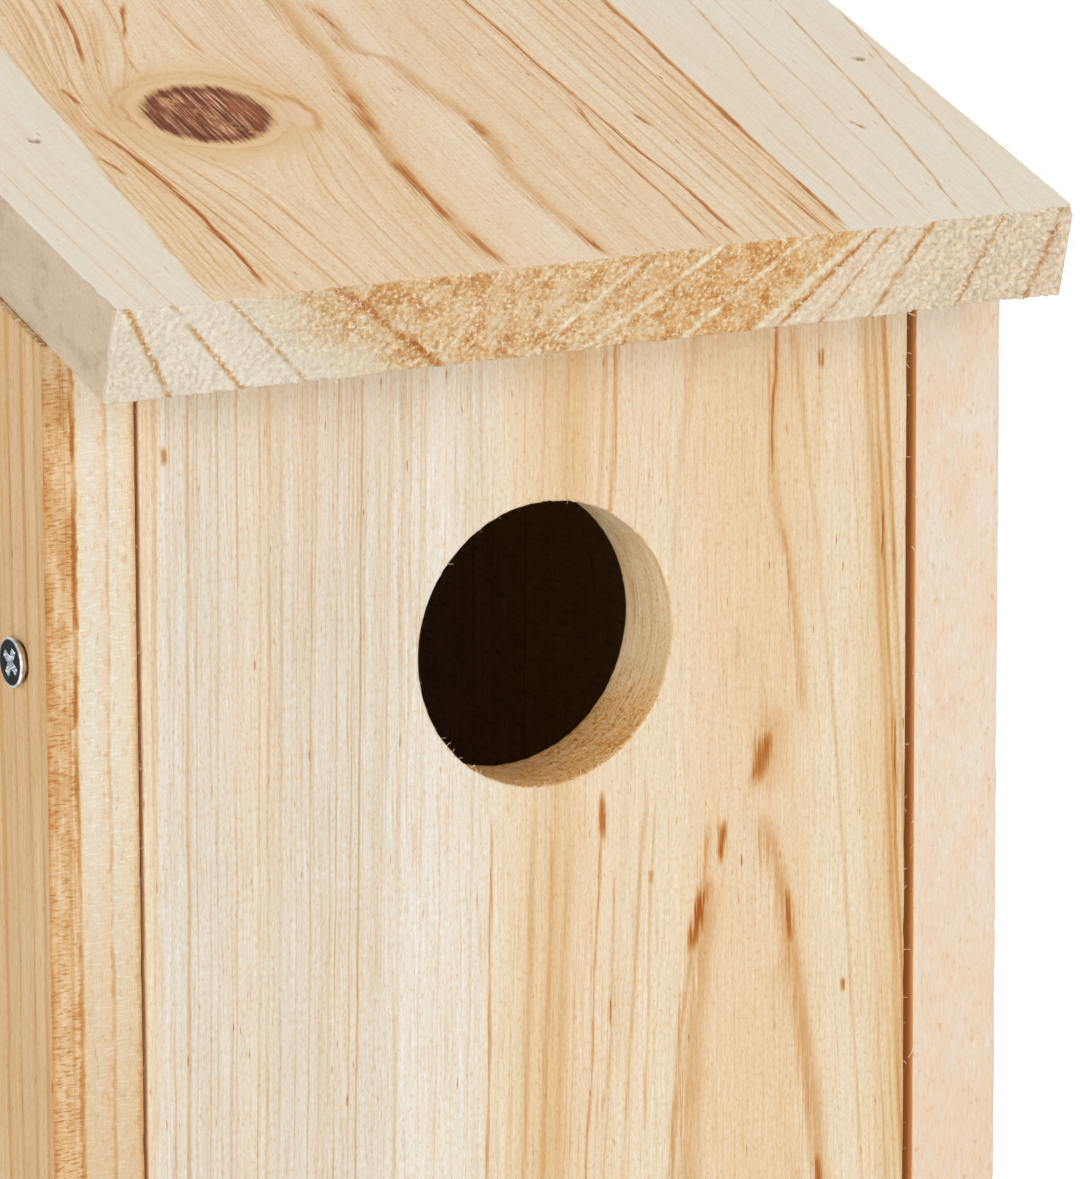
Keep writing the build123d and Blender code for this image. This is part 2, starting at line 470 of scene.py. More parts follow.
    frayed = thread - 0.5
    uneven = mottle([(across, 0.45), (along, 0.1)], 3, 0.6, seed + 9)
    for points, half, strength in streaks:
        trail, low, high = run(points)
        half_run = (high - low) / 2
        near = ease(abs(drawn - trail + frayed * (half * 2.4 + 0.6)), half, 0.0, strength)
        near = near * ease(abs(along - (low + half_run)), half_run + 0.5, half_run - min(5.0, half_run * 0.7))
        marks = most(marks, near)
    if marks is not None:
        marks = marks * (0.3 + thread * 0.7 + uneven * 0.6)
        pitch = pitch + marks * (0.35 + marks * 0.85)
    fleck = mottle([(across, 2.6), (along, 0.3), (deep, 2.6)], 1, 0.5, seed + 14)
    wood = soak(wood, pitch + ease(fleck, 0.72, 0.82, 0.6))

    if knot:
        aside = across - knot_across
        above = along - knot_along
        ragged = mottle([(across, 0.6), (along, 0.5)], 3, 0.6, seed + 16)
        planed = mottle([(across, 2.9), (along, 0.09)], 4, 0.75, seed + 17)
        out = far(aside, above) / radius
        out = out + (ragged - 0.5) * 0.22 + (planed - 0.5) * 0.3
        wood = stain(wood, shade(228, 186, 132), ease(out, 2.3, 1.05, 0.8))
        wrapped = mottle([(out, 7.0), (along, 0.06)], 3, 0.6, seed + 18)
        wood = soak(wood, ease(out, 1.8, 1.25) * ease(wrapped, 0.5, 0.64, 0.25))
        wood = stain(wood, WHEAT, ease(abs(out - 1.2), 0.1, 0.02, 0.4))
        core = ease(out, 1.12, 0.9)
        wood = stain(wood, shade(154, 84, 36), core)
        wood = stain(wood, shade(52, 16, 0), core * ease(planed, 0.5, 0.41, 0.95))
        wood = stain(wood, shade(240, 192, 152), core * ease(planed, 0.5, 0.58, 0.9) * ease(ragged, 0.3, 0.5))
        wood = stain(wood, shade(170, 98, 44), core * ease(aside, 0.4 * radius, 0.9 * radius, 0.6))
        check = abs(above + aside * 1.6 + (ragged - 0.5) * 5.0)
        dark = most(ease(check, 2.0, 0.6, 0.3), ease(aside, 0.0, -0.95 * radius, 0.4))
        wood = stain(wood, shade(108, 46, 10), core * most(dark, ease(abs(out - 0.92), 0.22, 0.0, 0.7)))
        wood = stain(wood, AMBER, core * ease(check, 1.6, 0.3) * ease(ragged, 0.47, 0.58, 0.9))
        aside = (across - eye_across + (ragged - 0.5) * 1.5) / 2.1
        above = (along - eye_along) / 4.4
        out = far(aside, above)
        wood = soak(wood, ease(abs(out - 1.0), 0.35, 0.05, 0.22) * ease(aside, -0.4, 0.8))
        wood = stain(wood, shade(242, 208, 176), ease(out, 1.0, 0.6, 0.55))

    if inner is not None:
        inside = ease(deep, inner - 0.35, inner - 0.15) * face_cut
        saw = mottle([(across, 0.25), (along, 1.6)], 3, 0.6, seed + 20)
        sawn = stain(stain(wood, FUZZ, 0.45), UMBER, ease(saw, 0.5, 0.75, 0.35))
        if edge:
            # Painted bounce light: close to the front edge the inner face is painted orange, as the warm
            # light seen down the gap beside the panel.
            sawn = stain(sawn, shade(240, 168, 98), ease(across, 5.0, 2.6, 0.9))
        wood = stain(wood, sawn, inside)
    if edge:
        wood = stain(wood, edge(across, along, deep), side_cut)

    grit = mottle([(across, 2.2), (along, 2.2), (deep, 2.2)], 4, 0.72, seed + 21)
    clump = mottle([(across, 0.28), (along, 0.28), (deep, 0.28)], 3, 0.6, seed + 22)
    cut = dye(ends) if ends else stain(wood, AMBER, 0.3)
    red, blue = (bench.node("ShaderNodeSeparateColor", {0: cut}, out=part) for part in (0, 2))
    hard = 0.42 + ease(blue / red, 0.62, 0.42, 0.6)
    torn = ease(clump, 0.36, 0.54)
    if span:
        torn = torn + ease(across, ragged_from, ragged_from + 12, 0.8)
    cut = stain(cut, CREAM, ease(clump, 0.46, 0.34, 0.35))
    resin = 0.0
    dense = None
    for front, back, half, strength, colour in end_lines:
        slant = front + deep * ((back - front) / thick)
        near = ease(abs(across + (grit - 0.5) * 1.2 - slant), half, 0.0, strength)
        if colour:
            cut = stain(cut, colour, near)
            dense = most(dense, near)
        else:
            resin = near * ease(clump, 0.3, 0.5, 0.6) + resin
    # Painted shade: the cut ends are darkened where their grit is low, as shade in the pits between the
    # crumbs; the resin lines soaked in with it are the wood's own colour.
    pit_shade = ease(grit, 0.53, 0.38) * (0.1 + torn * 0.1) + ease(grit, 0.44, 0.3, 0.22) * torn
    if dense is not None:
        pit_shade = pit_shade * (1 - dense * 0.85)
    cut = soak(cut, hard * pit_shade + resin + (hard - 0.42) * (ease(clump, 0.5, 0.62, 0.34) - 0.08))
    # Painted highlight: the cut ends are lightened where their grit is high, as light on the tops of the
    # crumbs.
    cut = stain(cut, shade(255, 243, 216), ease(grit, 0.52, 0.63) * (0.42 + torn * 0.45))
    wood = stain(wood, cut, end_cut)

    if bore:
        bore_across, bore_along, bore_radius = bore
        aside = across - bore_across
        above = along - bore_along
        away = far(aside, above)
        drilled = ease(away, bore_radius + 4, bore_radius + 2) * (1 - face_cut)
        turned = mottle([(deep, 1.8), (along, 0.1), (across, 0.3)], 4, 0.75, seed + 24)
        wall = stain(wood, shade(255, 228, 182), 0.97)
        under = ease(above, -0.25 * bore_radius, -0.8 * bore_radius)
        wall = stain(wall, shade(255, 196, 112), under * 0.8)
        # Painted shade in the pores of the drilled wall, where its grit is low.
        pore_shade = ease(grit, 0.48, 0.36) * (0.16 + under * 0.34)
        wall = soak(wall, ease(turned, 0.52, 0.66, 0.2) - ease(turned, 0.5, 0.34, 0.12) + pore_shade)
        # Painted highlight on the drilled wall's crumbs, where its grit is high.
        wall = stain(wall, IVORY, ease(grit, 0.54, 0.64, 0.75) * (0.4 + under * 0.6))
        wood = stain(wood, wall, drilled)

    height = (thread * 0.8 + speck * 0.5) * (1 - end_cut) + grit * (end_cut * 2.4 + side_cut * 0.6)
    bump = bench.node("ShaderNodeBump", {"Strength": 0.8, "Distance": 0.16 * MM, "Height": height})
    rough = 0.6 - thread * 0.14 + end_cut * 0.22
    coat(material, {"Base Color": wood, "Roughness": rough, "Specular IOR Level": 0.14, "Normal": bump})
    return material


def fit_board(piece, material, body, node):
    """Gives a finished board its wood and hangs it on its body in the CAD node's place."""
    piece.data.materials.append(material)
    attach(piece, body)
    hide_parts(node)


left_low, left_high = (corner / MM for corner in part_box("left_wall"))
front_y = left_low.y
rear_y = left_high.y
wall_depth = rear_y - front_y
board_thick = left_high.x - left_low.x
roof_slope = math.radians(16)
rear_height = left_high.z
front_height = rear_height - wall_depth * math.tan(roof_slope)
wall_corners = [(0, 0), (wall_depth, 0), (wall_depth, rear_height), (0, front_height)]

pivot_y = 6.7
pivot_z = 154.0
brad_y = 124.5
back_brad_heights = (40, 115, 190)
floor_brad_reach = (30, 88)
floor_brad_z = 5.5
screw_way = [(0, 2.42), (0.12, 2.3), (0.8, 1.62), (4, 1.6), (8, 1.6), (board_thick, 1.7)]
brad_way = [(0, 0.78), (0.25, 0.66), (1.0, 0.62), (5, 0.62), (board_thick - 0.2, 0.64), (board_thick, 0.72)]
wall_holes = [(pivot_y, pivot_z, screw_way, 0, 0.25)]
wall_holes += [(brad_y, height, brad_way, 0, 0.5) for height in back_brad_heights]
wall_holes += [(reach, floor_brad_z, brad_way, 0, 0.5) for reach in floor_brad_reach]

left_lay = place_board((left_low.x, front_y, 0), (0, 1, 0), (0, 0, 1), (1, 0, 0))
left_wall = saw_board("left_wall_board", left_lay, wall_corners, board_thick, wall_holes,
                      step=0.7, end_step=0.7, layers=18, seed=1, tear=1.6)
left_heart = Heart(70, 42, 0, 0.01, 100)
left_tints = [
    (-20, HONEY), (0, shade(223, 187, 140)), (2, HONEY), (6, shade(223, 187, 140)), (14, HONEY),
    (30, STRAW), (60, WHEAT), (90, HONEY), (120, STRAW), (150, CREAM),
]
left_lines = [
    (1.6, 150, 0.7, 0.3), (4.6, 150, 0.8, 0.35), (8.2, 150, 0.6, 0.3), (11.5, 150, 1.0, 0.3),
    (19, 150, 0.8, 0.3), (34, 120, 0.9, 0.5), (47, 120, 0.7, 0.5), (92, 120, 0.8, 0.6),
    (108, 120, 0.7, 0.5),
]


def rough_sawn(across, along, deep):
    """The left wall's front edge: an orange band, a dark streak, then cream, crossed by saw ticks."""
    drift = (mottle([(along, 0.03)], 2, 0.5, 3.0) - 0.5) * 1.3
    ragged = mottle([(deep, 1.4), (along, 0.6)], 3, 0.7, 4.0)
    band = deep + drift + (ragged - 0.5) * 0.9
    # Painted shade: toward the inner side, where the edge turns into the gap beside the panel, the colours go
    # through honey to amber.
    shades = [(0.0, AMBER), (0.05, HONEY), (0.12, WHEAT), (0.2, HONEY), (0.29, WHEAT), (0.37, STRAW),
              (0.5, CREAM), (0.64, BLUSH), (0.72, CREAM), (0.92, STRAW), (0.97, HONEY), (1.0, AMBER)]
    sawn = band.share(0.0, board_thick).colours(shades)
    ticks = mottle([(deep, 0.8), (along, 3.8)], 3, 0.65, 5.0)
    threads = mottle([(deep, 1.3), (along, 0.02)], 2, 0.6, 6.0)
    where = mottle([(deep, 0.5), (along, 0.14)], 3, 0.6, 9.0)
    outer = ease(band, 3.9, 3.2)
    upper = ease(along, 128, 150)
    pitch = outer * (0.03 + ease(where, 0.4, 0.62) * (0.1 + upper * 0.1)) - ease(ticks, 0.47, 0.36, 0.08)
    pitch = pitch + ease(ticks, 0.5, 0.64, 0.4) * (outer * 0.9 + 0.06) * ease(where, 0.3, 0.55)
    pitch = pitch + ease(threads, 0.56, 0.68, 0.18) * (outer * 0.7 + 0.1)
    pitch = pitch + (ease(ragged, 0.53, 0.68, 0.12) + ease(along, 150, 95, 0.14)) * (1 - outer)
    broken = (0.25 + ease(where, 0.36, 0.58, 0.45)) * (0.55 + upper * 0.45)
    pitch = pitch + ease(abs(band - 3.6), 0.5, 0.05) * broken
    return soak(sawn, pitch + ease(abs(band - 7.5), 0.4, 0.05) * ease(where, 0.3, 0.6, 0.2))


left_fir = fir("left_wall_fir", left_lay, left_heart, left_tints, left_lines, edge=rough_sawn,
               inner=board_thick, fine=0.8, seed=11.0)
fit_board(left_wall, left_fir, "box", "left_wall")


# Right wall: the left wall's mirror image, from a paler board. Its front edge also takes the
# shank of the turning hook that keeps the front panel shut.
right_low, right_high = (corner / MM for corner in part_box("right_wall"))
right_lay = place_board((right_high.x, front_y, 0), (0, 1, 0), (0, 0, 1), (-1, 0, 0))
right_wall = saw_board("right_wall_board", right_lay, wall_corners, board_thick, wall_holes,
                       step=0.7, end_step=0.7, layers=18, seed=2, tear=1.8)
right_heart = Heart(60, 36, 40, 0.016, 100)
right_tints = [
    (-20, CREAM), (10, STRAW), (40, HONEY), (55, STRAW), (62, HONEY), (90, STRAW), (110, CREAM),
    (150, CREAM),
]
right_lines = [
    (22, 120, 0.6, 0.6), (31, 120, 0.5, 0.5), (44, 120, 0.8, 0.7), (51, 60, 0.9, 0.8), (78, 120, 0.6, 0.6),
    (97, 120, 0.5, 0.5),
]


def pale_sawn(across, along, deep):
    """The right wall's front edge: pinkish cream in soft clouds, with a fuzzy nap."""
    cloud = mottle([(deep, 0.3), (along, 0.12)], 4, 0.65, 4.0)
    nap = mottle([(deep, 2.4), (along, 0.6)], 3, 0.7, 7.0)
    scar = mottle([(deep, 0.9), (along, 0.5)], 3, 0.6, 9.0)
    pale = stain(shade(240, 225, 206), shade(242, 219, 195), ease(cloud, 0.36, 0.56))
    pale = stain(pale, shade(238, 204, 174), ease(cloud, 0.54, 0.74, 0.6))
    pale = stain(pale, shade(240, 208, 174), ease(along, 135, 60, 0.5))
    return soak(pale, ease(scar, 0.6, 0.74, 0.14) + ease(nap, 0.54, 0.7, 0.1) - ease(nap, 0.46, 0.32, 0.06))


right_fir = fir("right_wall_fir", right_lay, right_heart, right_tints, right_lines, edge=pale_sawn,
                inner=board_thick, seed=23.0)
fit_board(right_wall, right_fir, "box", "right_wall")


# Back wall: a board between the side walls, its top cut to the slope, with two holes for the
# screws that hang the box and two brad holes into the floor.
back_low, back_high = (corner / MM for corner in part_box("back_wall"))
back_lay = place_board((0, back_high.y, 0), (1, 0, 0), (0, 0, 1), (0, -1, 0))
back_half = back_high.x
back_top = back_high.z - board_thick * math.tan(roof_slope)
hang_way = [(0, 2.95), (0.15, 2.78), (3, 2.75), (8, 2.75), (10.85, 2.78), (11, 2.95)]
rear_brad_x = (-22, 22)
back_holes = [(0, height, hang_way, 0, 0.6) for height in (40, 205)]
back_holes += [(side, floor_brad_z, brad_way, 0, 0.5) for side in rear_brad_x]
back_corners = [(-back_half, 0), (back_half, 0), (back_half, back_high.z), (-back_half, back_high.z)]
back_wall = saw_board("back_wall_board", back_lay, back_corners, board_thick, back_holes,
                      step=1.0, end_step=1.0, layers=10, seed=3)
for vertex in back_wall.data.vertices:
    limit = (back_top + (vertex.co.y / MM - back_low.y) * math.tan(roof_slope)) * MM
    if vertex.co.z > limit:
        vertex.co.z = limit
back_heart = Heart(-12, 28, 90, 0.03, 0)
back_tints = [(-70, CREAM), (-40, STRAW), (-12, HONEY), (20, STRAW), (60, CREAM)]
back_lines = [
    (-38, 100, 0.6, 0.6), (-30, 100, 0.5, 0.6), (-22, 60, 0.7, 0.7), (-3, 60, 0.8, 0.8),
    (12, 100, 0.6, 0.6), (24, 100, 0.5, 0.6), (37, 100, 0.6, 0.5),
]
back_fir = fir("back_wall_fir", back_lay, back_heart, back_tints, back_lines, inner=board_thick, seed=37.0)
fit_board(back_wall, back_fir, "box", "back_wall")


# Floor: a board between the walls, grain from side to side, with four drain holes. The closed
# front panel rests against its front edge.
floor_low, floor_high = (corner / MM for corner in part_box("floor"))
floor_lay = place_board((0, floor_low.y, floor_high.z), (0, 1, 0), (1, 0, 0), (0, 0, -1))
floor_depth = floor_high.y - floor_low.y
floor_half = floor_high.x
drain_way = [(0, 3.2), (0.15, 3.03), (3, 3.0), (8, 3.0), (10.85, 3.03), (11, 3.2)]
drain_rows = [front_y + reach - floor_low.y for reach in (45, 105)]
floor_holes = [(row, side, drain_way, 0, 0.8) for row in drain_rows for side in (-36, 36)]
floor_corners = [(0, -floor_half), (floor_depth, -floor_half), (floor_depth, floor_half), (0, floor_half)]
floor_board = saw_board("floor_board", floor_lay, floor_corners, board_thick, floor_holes,
                        step=0.9, end_step=0.9, layers=10, seed=4)
floor_heart = Heart(60, -30, 0, 0.02, 60)
floor_tints = [(-20, CREAM), (20, STRAW), (60, HONEY), (90, STRAW), (130, CREAM)]
floor_fir = fir("floor_fir", floor_lay, floor_heart, floor_tints, seed=41.0)
fit_board(floor_board, floor_fir, "box", "floor")


# Front panel: the planed board between the walls, with the entrance hole drilled through it.
# It swings on the pivot screws, so it stands clear of both walls by an open line.
panel_low, panel_high = (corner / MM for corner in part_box("front_panel"))
panel_lay = place_board((0, panel_low.y, 0), (1, 0, 0), (0, 0, 1), (0, 1, 0))
hole_x = 1.4
hole_z = 150.0
hole_radius = 16.0
hole_way = [(0, 16.2), (0.1, 16.08), (0.3, 16.0)]
hole_way += [(0.3 + 10.3 * k / 24, 16.0) for k in range(1, 24)]
hole_way += [(10.6, 16.0), (10.85, 16.1), (11, 16.3)]
panel_corners = [(panel_low.x, panel_low.z), (panel_high.x, panel_low.z),
                 (panel_high.x, panel_high.z), (panel_low.x, panel_high.z)]
panel_holes = [(hole_x, hole_z, hole_way, 0, 1.0)]
panel = saw_board("front_panel_board", panel_lay, panel_corners, board_thick, panel_holes,
                  step=0.5, end_step=0.6, layers=14, seed=5, tear=1.2)
panel_heart = Heart(26.8, 35, 133, 0.0286, 80)
panel_tints = [
    (-52, STRAW), (-48.4, STRAW), (-47, MILK), (-40, MILK), (-36, shade(235, 219, 195)), (-33, MILK),
    (-24, MILK), (-14, shade(240, 230, 214)), (-9, CREAM), (-5.5, STRAW), (1, HONEY), (4, WHEAT),
    (9, STRAW), (13, shade(241, 223, 194)), (17, STRAW), (22, WHEAT), (27, shade(237, 209, 171)),
    (33, shade(237, 209, 171)), (38, STRAW), (43, STRAW), (48, HONEY), (52, STRAW),
]
panel_lines = [
    (-47.0, 158, 0.5, 0.2), (-44.6, 158, 0.34, 0.18), (-42.9, 158, 0.48, 0.36), (-41.8, 158, 0.2, 0.29),
    (-40.2, 158, 0.27, 0.22), (-39.3, 158, 0.2, 0.25), (-37.0, 157, 0.24, 0.25), (-34.2, 157, 0.2, 0.29),
    (-33.1, 157, 0.41, 0.25), (-31.6, 157, 0.61, 0.22), (-29.6, 157, 0.2, 0.22), (-27.9, 156, 0.24, 0.29),
    (-24.7, 156, 0.2, 0.4), (-22.9, 156, 0.2, 0.29), (-21.9, 155, 0.24, 0.43), (-19.0, 155, 0.2, 0.18),
    (-16.9, 155, 0.68, 0.25), (-14.1, 154, 0.27, 0.22), (-10.5, 154, 0.2, 0.18),
    (-1.0, 110, 0.8, 0.25, None, 130), (1.2, 108, 0.6, 0.3, None, 128), (3.2, 108, 0.9, 0.25, None, 126),
    (10.2, 176, 0.5, 0.45, 160, None), (12.4, 110, 0.5, 0.35, None, 130), (19.3, 175, 0.5, 0.22, 150, None),
    (42.6, 176, 0.8, 0.4), (44.2, 165, 0.4, 0.5), (45.2, 149, 0.35, 0.5), (46.4, 149, 0.5, 0.4),
    (39.6, 120, 0.4, 0.25),
]
panel_streaks = [
    ([(181.6, 31.0), (171.2, 30.1), (162.1, 30.9), (153.7, 32.8), (143.1, 34.0), (136, 34.8)], 1.2, 0.3),
    ([(190, 31.0), (177.9, 30.5), (171.2, 30.2), (164, 30.7)], 0.5, 0.7),
    ([(162, 31.0), (156, 32.2), (150, 33.3)], 0.45, 0.55),
    ([(128.9, 22.2), (120, 21.4), (107.6, 19.0), (94.6, 17.7), (60, 16.4), (1, 15.4)], 0.8, 0.45),
    ([(121, 23.4), (108.8, 20.9), (94.3, 19.6), (60, 18.6), (1, 17.8)], 2.4, 0.36),
    ([(127.6, 23.9), (124.4, 23.7), (121.2, 23.3)], 0.9, 0.85),
    ([(121.5, 22.1), (116.1, 20.8), (110.5, 19.3)], 1.4, 0.9),
    ([(128.5, 28.6), (122.1, 30.4), (113, 32.4), (105.6, 33.5), (95, 35.3), (60, 39.2),
      (1, 43.0)], 2.2, 0.42),
    ([(119.6, 32.0), (115, 32.4), (110.0, 32.9)], 1.0, 0.85),
    ([(87.5, 36.2), (84.7, 36.4), (79, 36.9)], 1.0, 0.9),
    ([(137.6, 29.9), (134.2, 29.2), (129.8, 28.2)], 2.1, 0.85),
    ([(141, 30.2), (134, 29.6), (128, 28.9)], 3.4, 0.3),
    ([(132.8, 8.25), (129.5, 8.35), (126, 8.35)], 0.9, 0.95),
    ([(133, 8.3), (117.8, 7.7), (109.8, 7.2), (99, 6.9), (87.8, 6.2), (50, 5.4), (1, 4.8)], 0.4, 0.5),
    ([(125, 9.8), (107.4, 9.5), (93, 8.1)], 0.35, 0.35),
    ([(109, 9.5), (107, 9.4), (104.5, 9.3)], 0.4, 0.7),
    ([(132, -5.7), (112, -6.0), (90.5, -6.4), (50, -7.0), (1, -7.8)], 0.35, 0.5),
    ([(132.7, 15.3), (121.5, 14.7), (112.6, 14.3), (90, 13.7)], 0.4, 0.28),
    ([(122.6, 14.8), (121.6, 14.7), (120.6, 14.7)], 0.5, 0.6),
    ([(162, 44.4), (157.8, 44.5), (153.8, 44.6)], 0.5, 0.95),
    ([(139, 46.0), (133, 46.3), (126.6, 46.9)], 0.45, 0.9),
    ([(188, 9.8), (179, 10.2), (171, 10.2), (166, 10.1)], 0.35, 0.55),
    ([(188, 36.9), (179, 36.7), (162, 35.8)], 1.0, 0.18),
    ([(180, 36.8), (178.6, 36.75), (177.4, 36.7)], 0.5, 0.8),
    ([(177.3, -45.6), (176.3, -45.6), (175.3, -45.6)], 0.6, 0.8),
    ([(106.4, 39.8), (105.7, 39.8), (105, 39.8)], 0.4, 0.9),
]
panel_fir = fir("front_panel_fir", panel_lay, panel_heart, panel_tints, panel_lines, panel_streaks,
                bore=(hole_x, hole_z, hole_radius), inner=board_thick, fine=0.65, wander=0.8, seed=53.0)
fit_board(panel, panel_fir, "front", "front_panel")


# Pivot screws: two countersunk wood screws, bright zinc, driven through the side walls into the
# panel's edges, which swing on them. Each head stands a little proud and has a cross recess.
def grow(name, base, sizes, shape, material):
    """Makes a piece with Geometry Nodes from a base mesh and named sizes, and leaves a plain mesh."""
    tree = bpy.data.node_groups.new(name + "_nodes", "GeometryNodeTree")
    tree.interface.new_socket("Geometry", in_out="INPUT", socket_type="NodeSocketGeometry")
    tree.interface.new_socket("Geometry", in_out="OUTPUT", socket_type="NodeSocketGeometry")
    labels = {}
    for label in sizes:
        labels[label] = tree.interface.new_socket(label, in_out="INPUT", socket_type="NodeSocketFloat")
    given = tree.nodes.new("NodeGroupInput")
    result = tree.nodes.new("NodeGroupOutput")
    bench = Tone(tree)
    size = {label: Tone(tree, given.outputs[label]) for label in sizes}
    made = shape(bench, Tone(tree, given.outputs["Geometry"]), size)
    made = bench.node("GeometryNodeRealizeInstances", {"Geometry": made})
    made = bench.node("GeometryNodeSetMaterial", {"Geometry": made, "Material": material})
    tree.links.new(made.socket, result.inputs["Geometry"])
    piece = put(name, base)
    growing = piece.modifiers.new(name, "NODES")
    growing.node_group = tree
    for label, value in sizes.items():
        growing[labels[label].identifier] = value
    mesh = bpy.data.meshes.new_from_object(piece.evaluated_get(bpy.context.evaluated_depsgraph_get()))
    piece.modifiers.remove(growing)
    piece.data = mesh
    return piece


def join(*parts):
    return parts[0].node("GeometryNodeJoinGeometry", {"Geometry": list(parts)})


def moved(part, place, **how):
    """The part turned, scaled and taken to a place."""
    return part.node("GeometryNodeTransform", {"Geometry": part, "Translation": place, **how})


def tube(path, sides, radius):
    """A closed tube along a path."""
    ring = path.node("GeometryNodeCurvePrimitiveCircle", {"Resolution": sides, "Radius": radius})
    limits = {"Curve": path, "Profile Curve": ring, "Fill Caps": True}
    return path.node("GeometryNodeCurveToMesh", limits)


def scatter(points, part, **how):
    """The part at each of the points, turned and scaled there."""
    return part.node("GeometryNodeInstanceOnPoints", {"Points": points, "Instance": part, **how})


def spiral_thread(bench, size):
    """A rolled thread round the Z axis, from nothing up to its length."""
    path = bench.node("GeometryNodeCurveSpiral", {
        "Resolution": 20, "Rotations": size["Turns"], "Start Radius": size["Thread radius"],
        "End Radius": size["Thread radius"], "Height": size["Thread length"]})
    return tube(path, 3, size["Ridge"])


def millimetres(bench):
    """The place on the box, measured from its origin."""
    spot = bench.node("ShaderNodeTexCoord", out="Object")
    return [bench.node("ShaderNodeSeparateXYZ", {0: spot}, out=i) / MM for i in range(3)]


def zinc(name, worn, pale, dark, rough, painted_reflection=None):
    """Plated steel: a smooth metal with cloudy spangle, and dark stains where it is worn, with a painted
    reflection laid on top where one is given.
    """
    material, bench = new_paint(name)
    x, y, z = millimetres(bench)
    cloud = mottle([(x, 0.9), (y, 0.9), (z, 0.9)], 3, 0.6, worn)
    scuff = mottle([(x, 4.0), (y, 4.0), (z, 4.0)], 3, 0.7, worn + 2)
    metal = stain(pale, dark, ease(cloud, 0.42, 0.66, 0.8))
    metal = stain(metal, pale, ease(scuff, 0.55, 0.7, 0.5))
    if painted_reflection:
        metal = painted_reflection(metal, x, y, z)
    bump = bench.node("ShaderNodeBump", {"Strength": 0.1, "Distance": 0.05 * MM, "Height": scuff})
    coat(material, {"Base Color": metal, "Roughness": rough + scuff * 0.16, "Metallic": 1.0,
                    "Specular Tint": (0.7, 0.7, 0.7, 1.0), "Normal": bump})
    return material


screw_low, screw_high = (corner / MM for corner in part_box("left_pivot_screw"))
screw_length = screw_high.x - screw_low.x
head_x = -screw_low.x
head_radius = (screw_high.z - screw_low.z) / 2
screw_y = front_y + pivot_y
rim_deep = 0.3
shank_radius = 1.45
core_radius = 1.05
recess_deep = 1.2
recess_half = 0.5
recess_reach = 1.75
recess_wall = 0.12
recess_tip = 0.2
recess_turn = math.radians(30)


def recess(side, up):
    """How deep the cross recess is at a place on the head's face."""
    u = side * math.cos(recess_turn) + up * math.sin(recess_turn)
    v = up * math.cos(recess_turn) - side * math.sin(recess_turn)
    deepest = 0.0
    for wide, long in ((abs(u), abs(v)), (abs(v), abs(u))):
        wall = clamp((recess_half - wide) / recess_wall)
        tip = clamp((recess_reach - long) / recess_tip)
        deepest = max(deepest, wall * tip * (1 - 0.45 * min(1.0, long / recess_reach)))
    return recess_deep * deepest


face_rings = [(0.0, head_radius * k / 30) for k in range(1, 29)]
side_rings = [(0.02, head_radius - 0.09), (0.07, head_radius - 0.03), (0.14, head_radius),
              (rim_deep, head_radius)]
side_rings += [(rim_deep + head_radius - shank_radius, shank_radius), (board_thick - 1, shank_radius),
               (board_thick + 0.4, core_radius), (screw_length - 4, core_radius), (screw_length - 0.25, 0.12)]
screw_build = bmesh.new()
spokes = 96
middle = screw_build.verts.new((recess(0, 0) * MM, 0, 0))
last_ring = None
for deep, radius in face_rings + side_rings:
    ring_points = []
    for k in range(spokes):
        side = radius * math.cos(math.tau * k / spokes)
        up = radius * math.sin(math.tau * k / spokes)
        sunk = deep + (recess(side, up) if deep == 0.0 else 0.0)
        ring_points.append(screw_build.verts.new((sunk * MM, side * MM, up * MM)))
    for k in range(spokes):
        after = (k + 1) % spokes
        if last_ring:
            face = screw_build.faces.new((last_ring[k], last_ring[after], ring_points[after], ring_points[k]))
        else:
            face = screw_build.faces.new((middle, ring_points[after], ring_points[k]))
        face.smooth = deep != 0.0
    last_ring = ring_points
tip = screw_build.verts.new((screw_length * MM, 0, 0))
for k in range(spokes):
    screw_build.faces.new((last_ring[k], last_ring[(k + 1) % spokes], tip))
bmesh.ops.recalc_face_normals(screw_build, faces=screw_build.faces)
screw_blank = bpy.data.meshes.new("screw_blank")
screw_build.to_mesh(screw_blank)
screw_build.free()


def drive_screws(bench, blank, size):
    start = bench.vector(size["Thread start"])
    screw = join(blank, moved(spiral_thread(bench, size), start, Rotation=(0, math.pi / 2, 0)))
    heads = (size["Head X"] * -1, size["Head X"])
    starts = [bench.vector(head, size["Axis Y"], size["Axis Z"]) for head in heads]
    pair = bench.node("GeometryNodeMeshLine", {"Count": 2, "Start Location": starts[0], "Offset": starts[1]},
                      mode="END_POINTS")
    half_turn = bench.node("GeometryNodeInputIndex") * math.pi
    return scatter(pair, screw, Rotation=bench.vector(z=half_turn))


def head_painted_reflection(metal, x, y, z):
    """The head's flat face is painted blue-black, a painted reflection of dark surroundings; the recess and
    the rim keep the bright zinc.
    """
    face = ease(abs(x), head_x - 0.12, head_x - 0.03)
    away = far(y - screw_y, z - pivot_z)
    film = mottle([(y, 0.5), (z, 0.5)], 3, 0.6, 31.0)
    dark_reflection = stain(shade(3, 4, 6), shade(44, 52, 62), ease(film, 0.54, 0.72))
    return stain(metal, dark_reflection, face * ease(away, head_radius - 0.1, head_radius - 0.35))


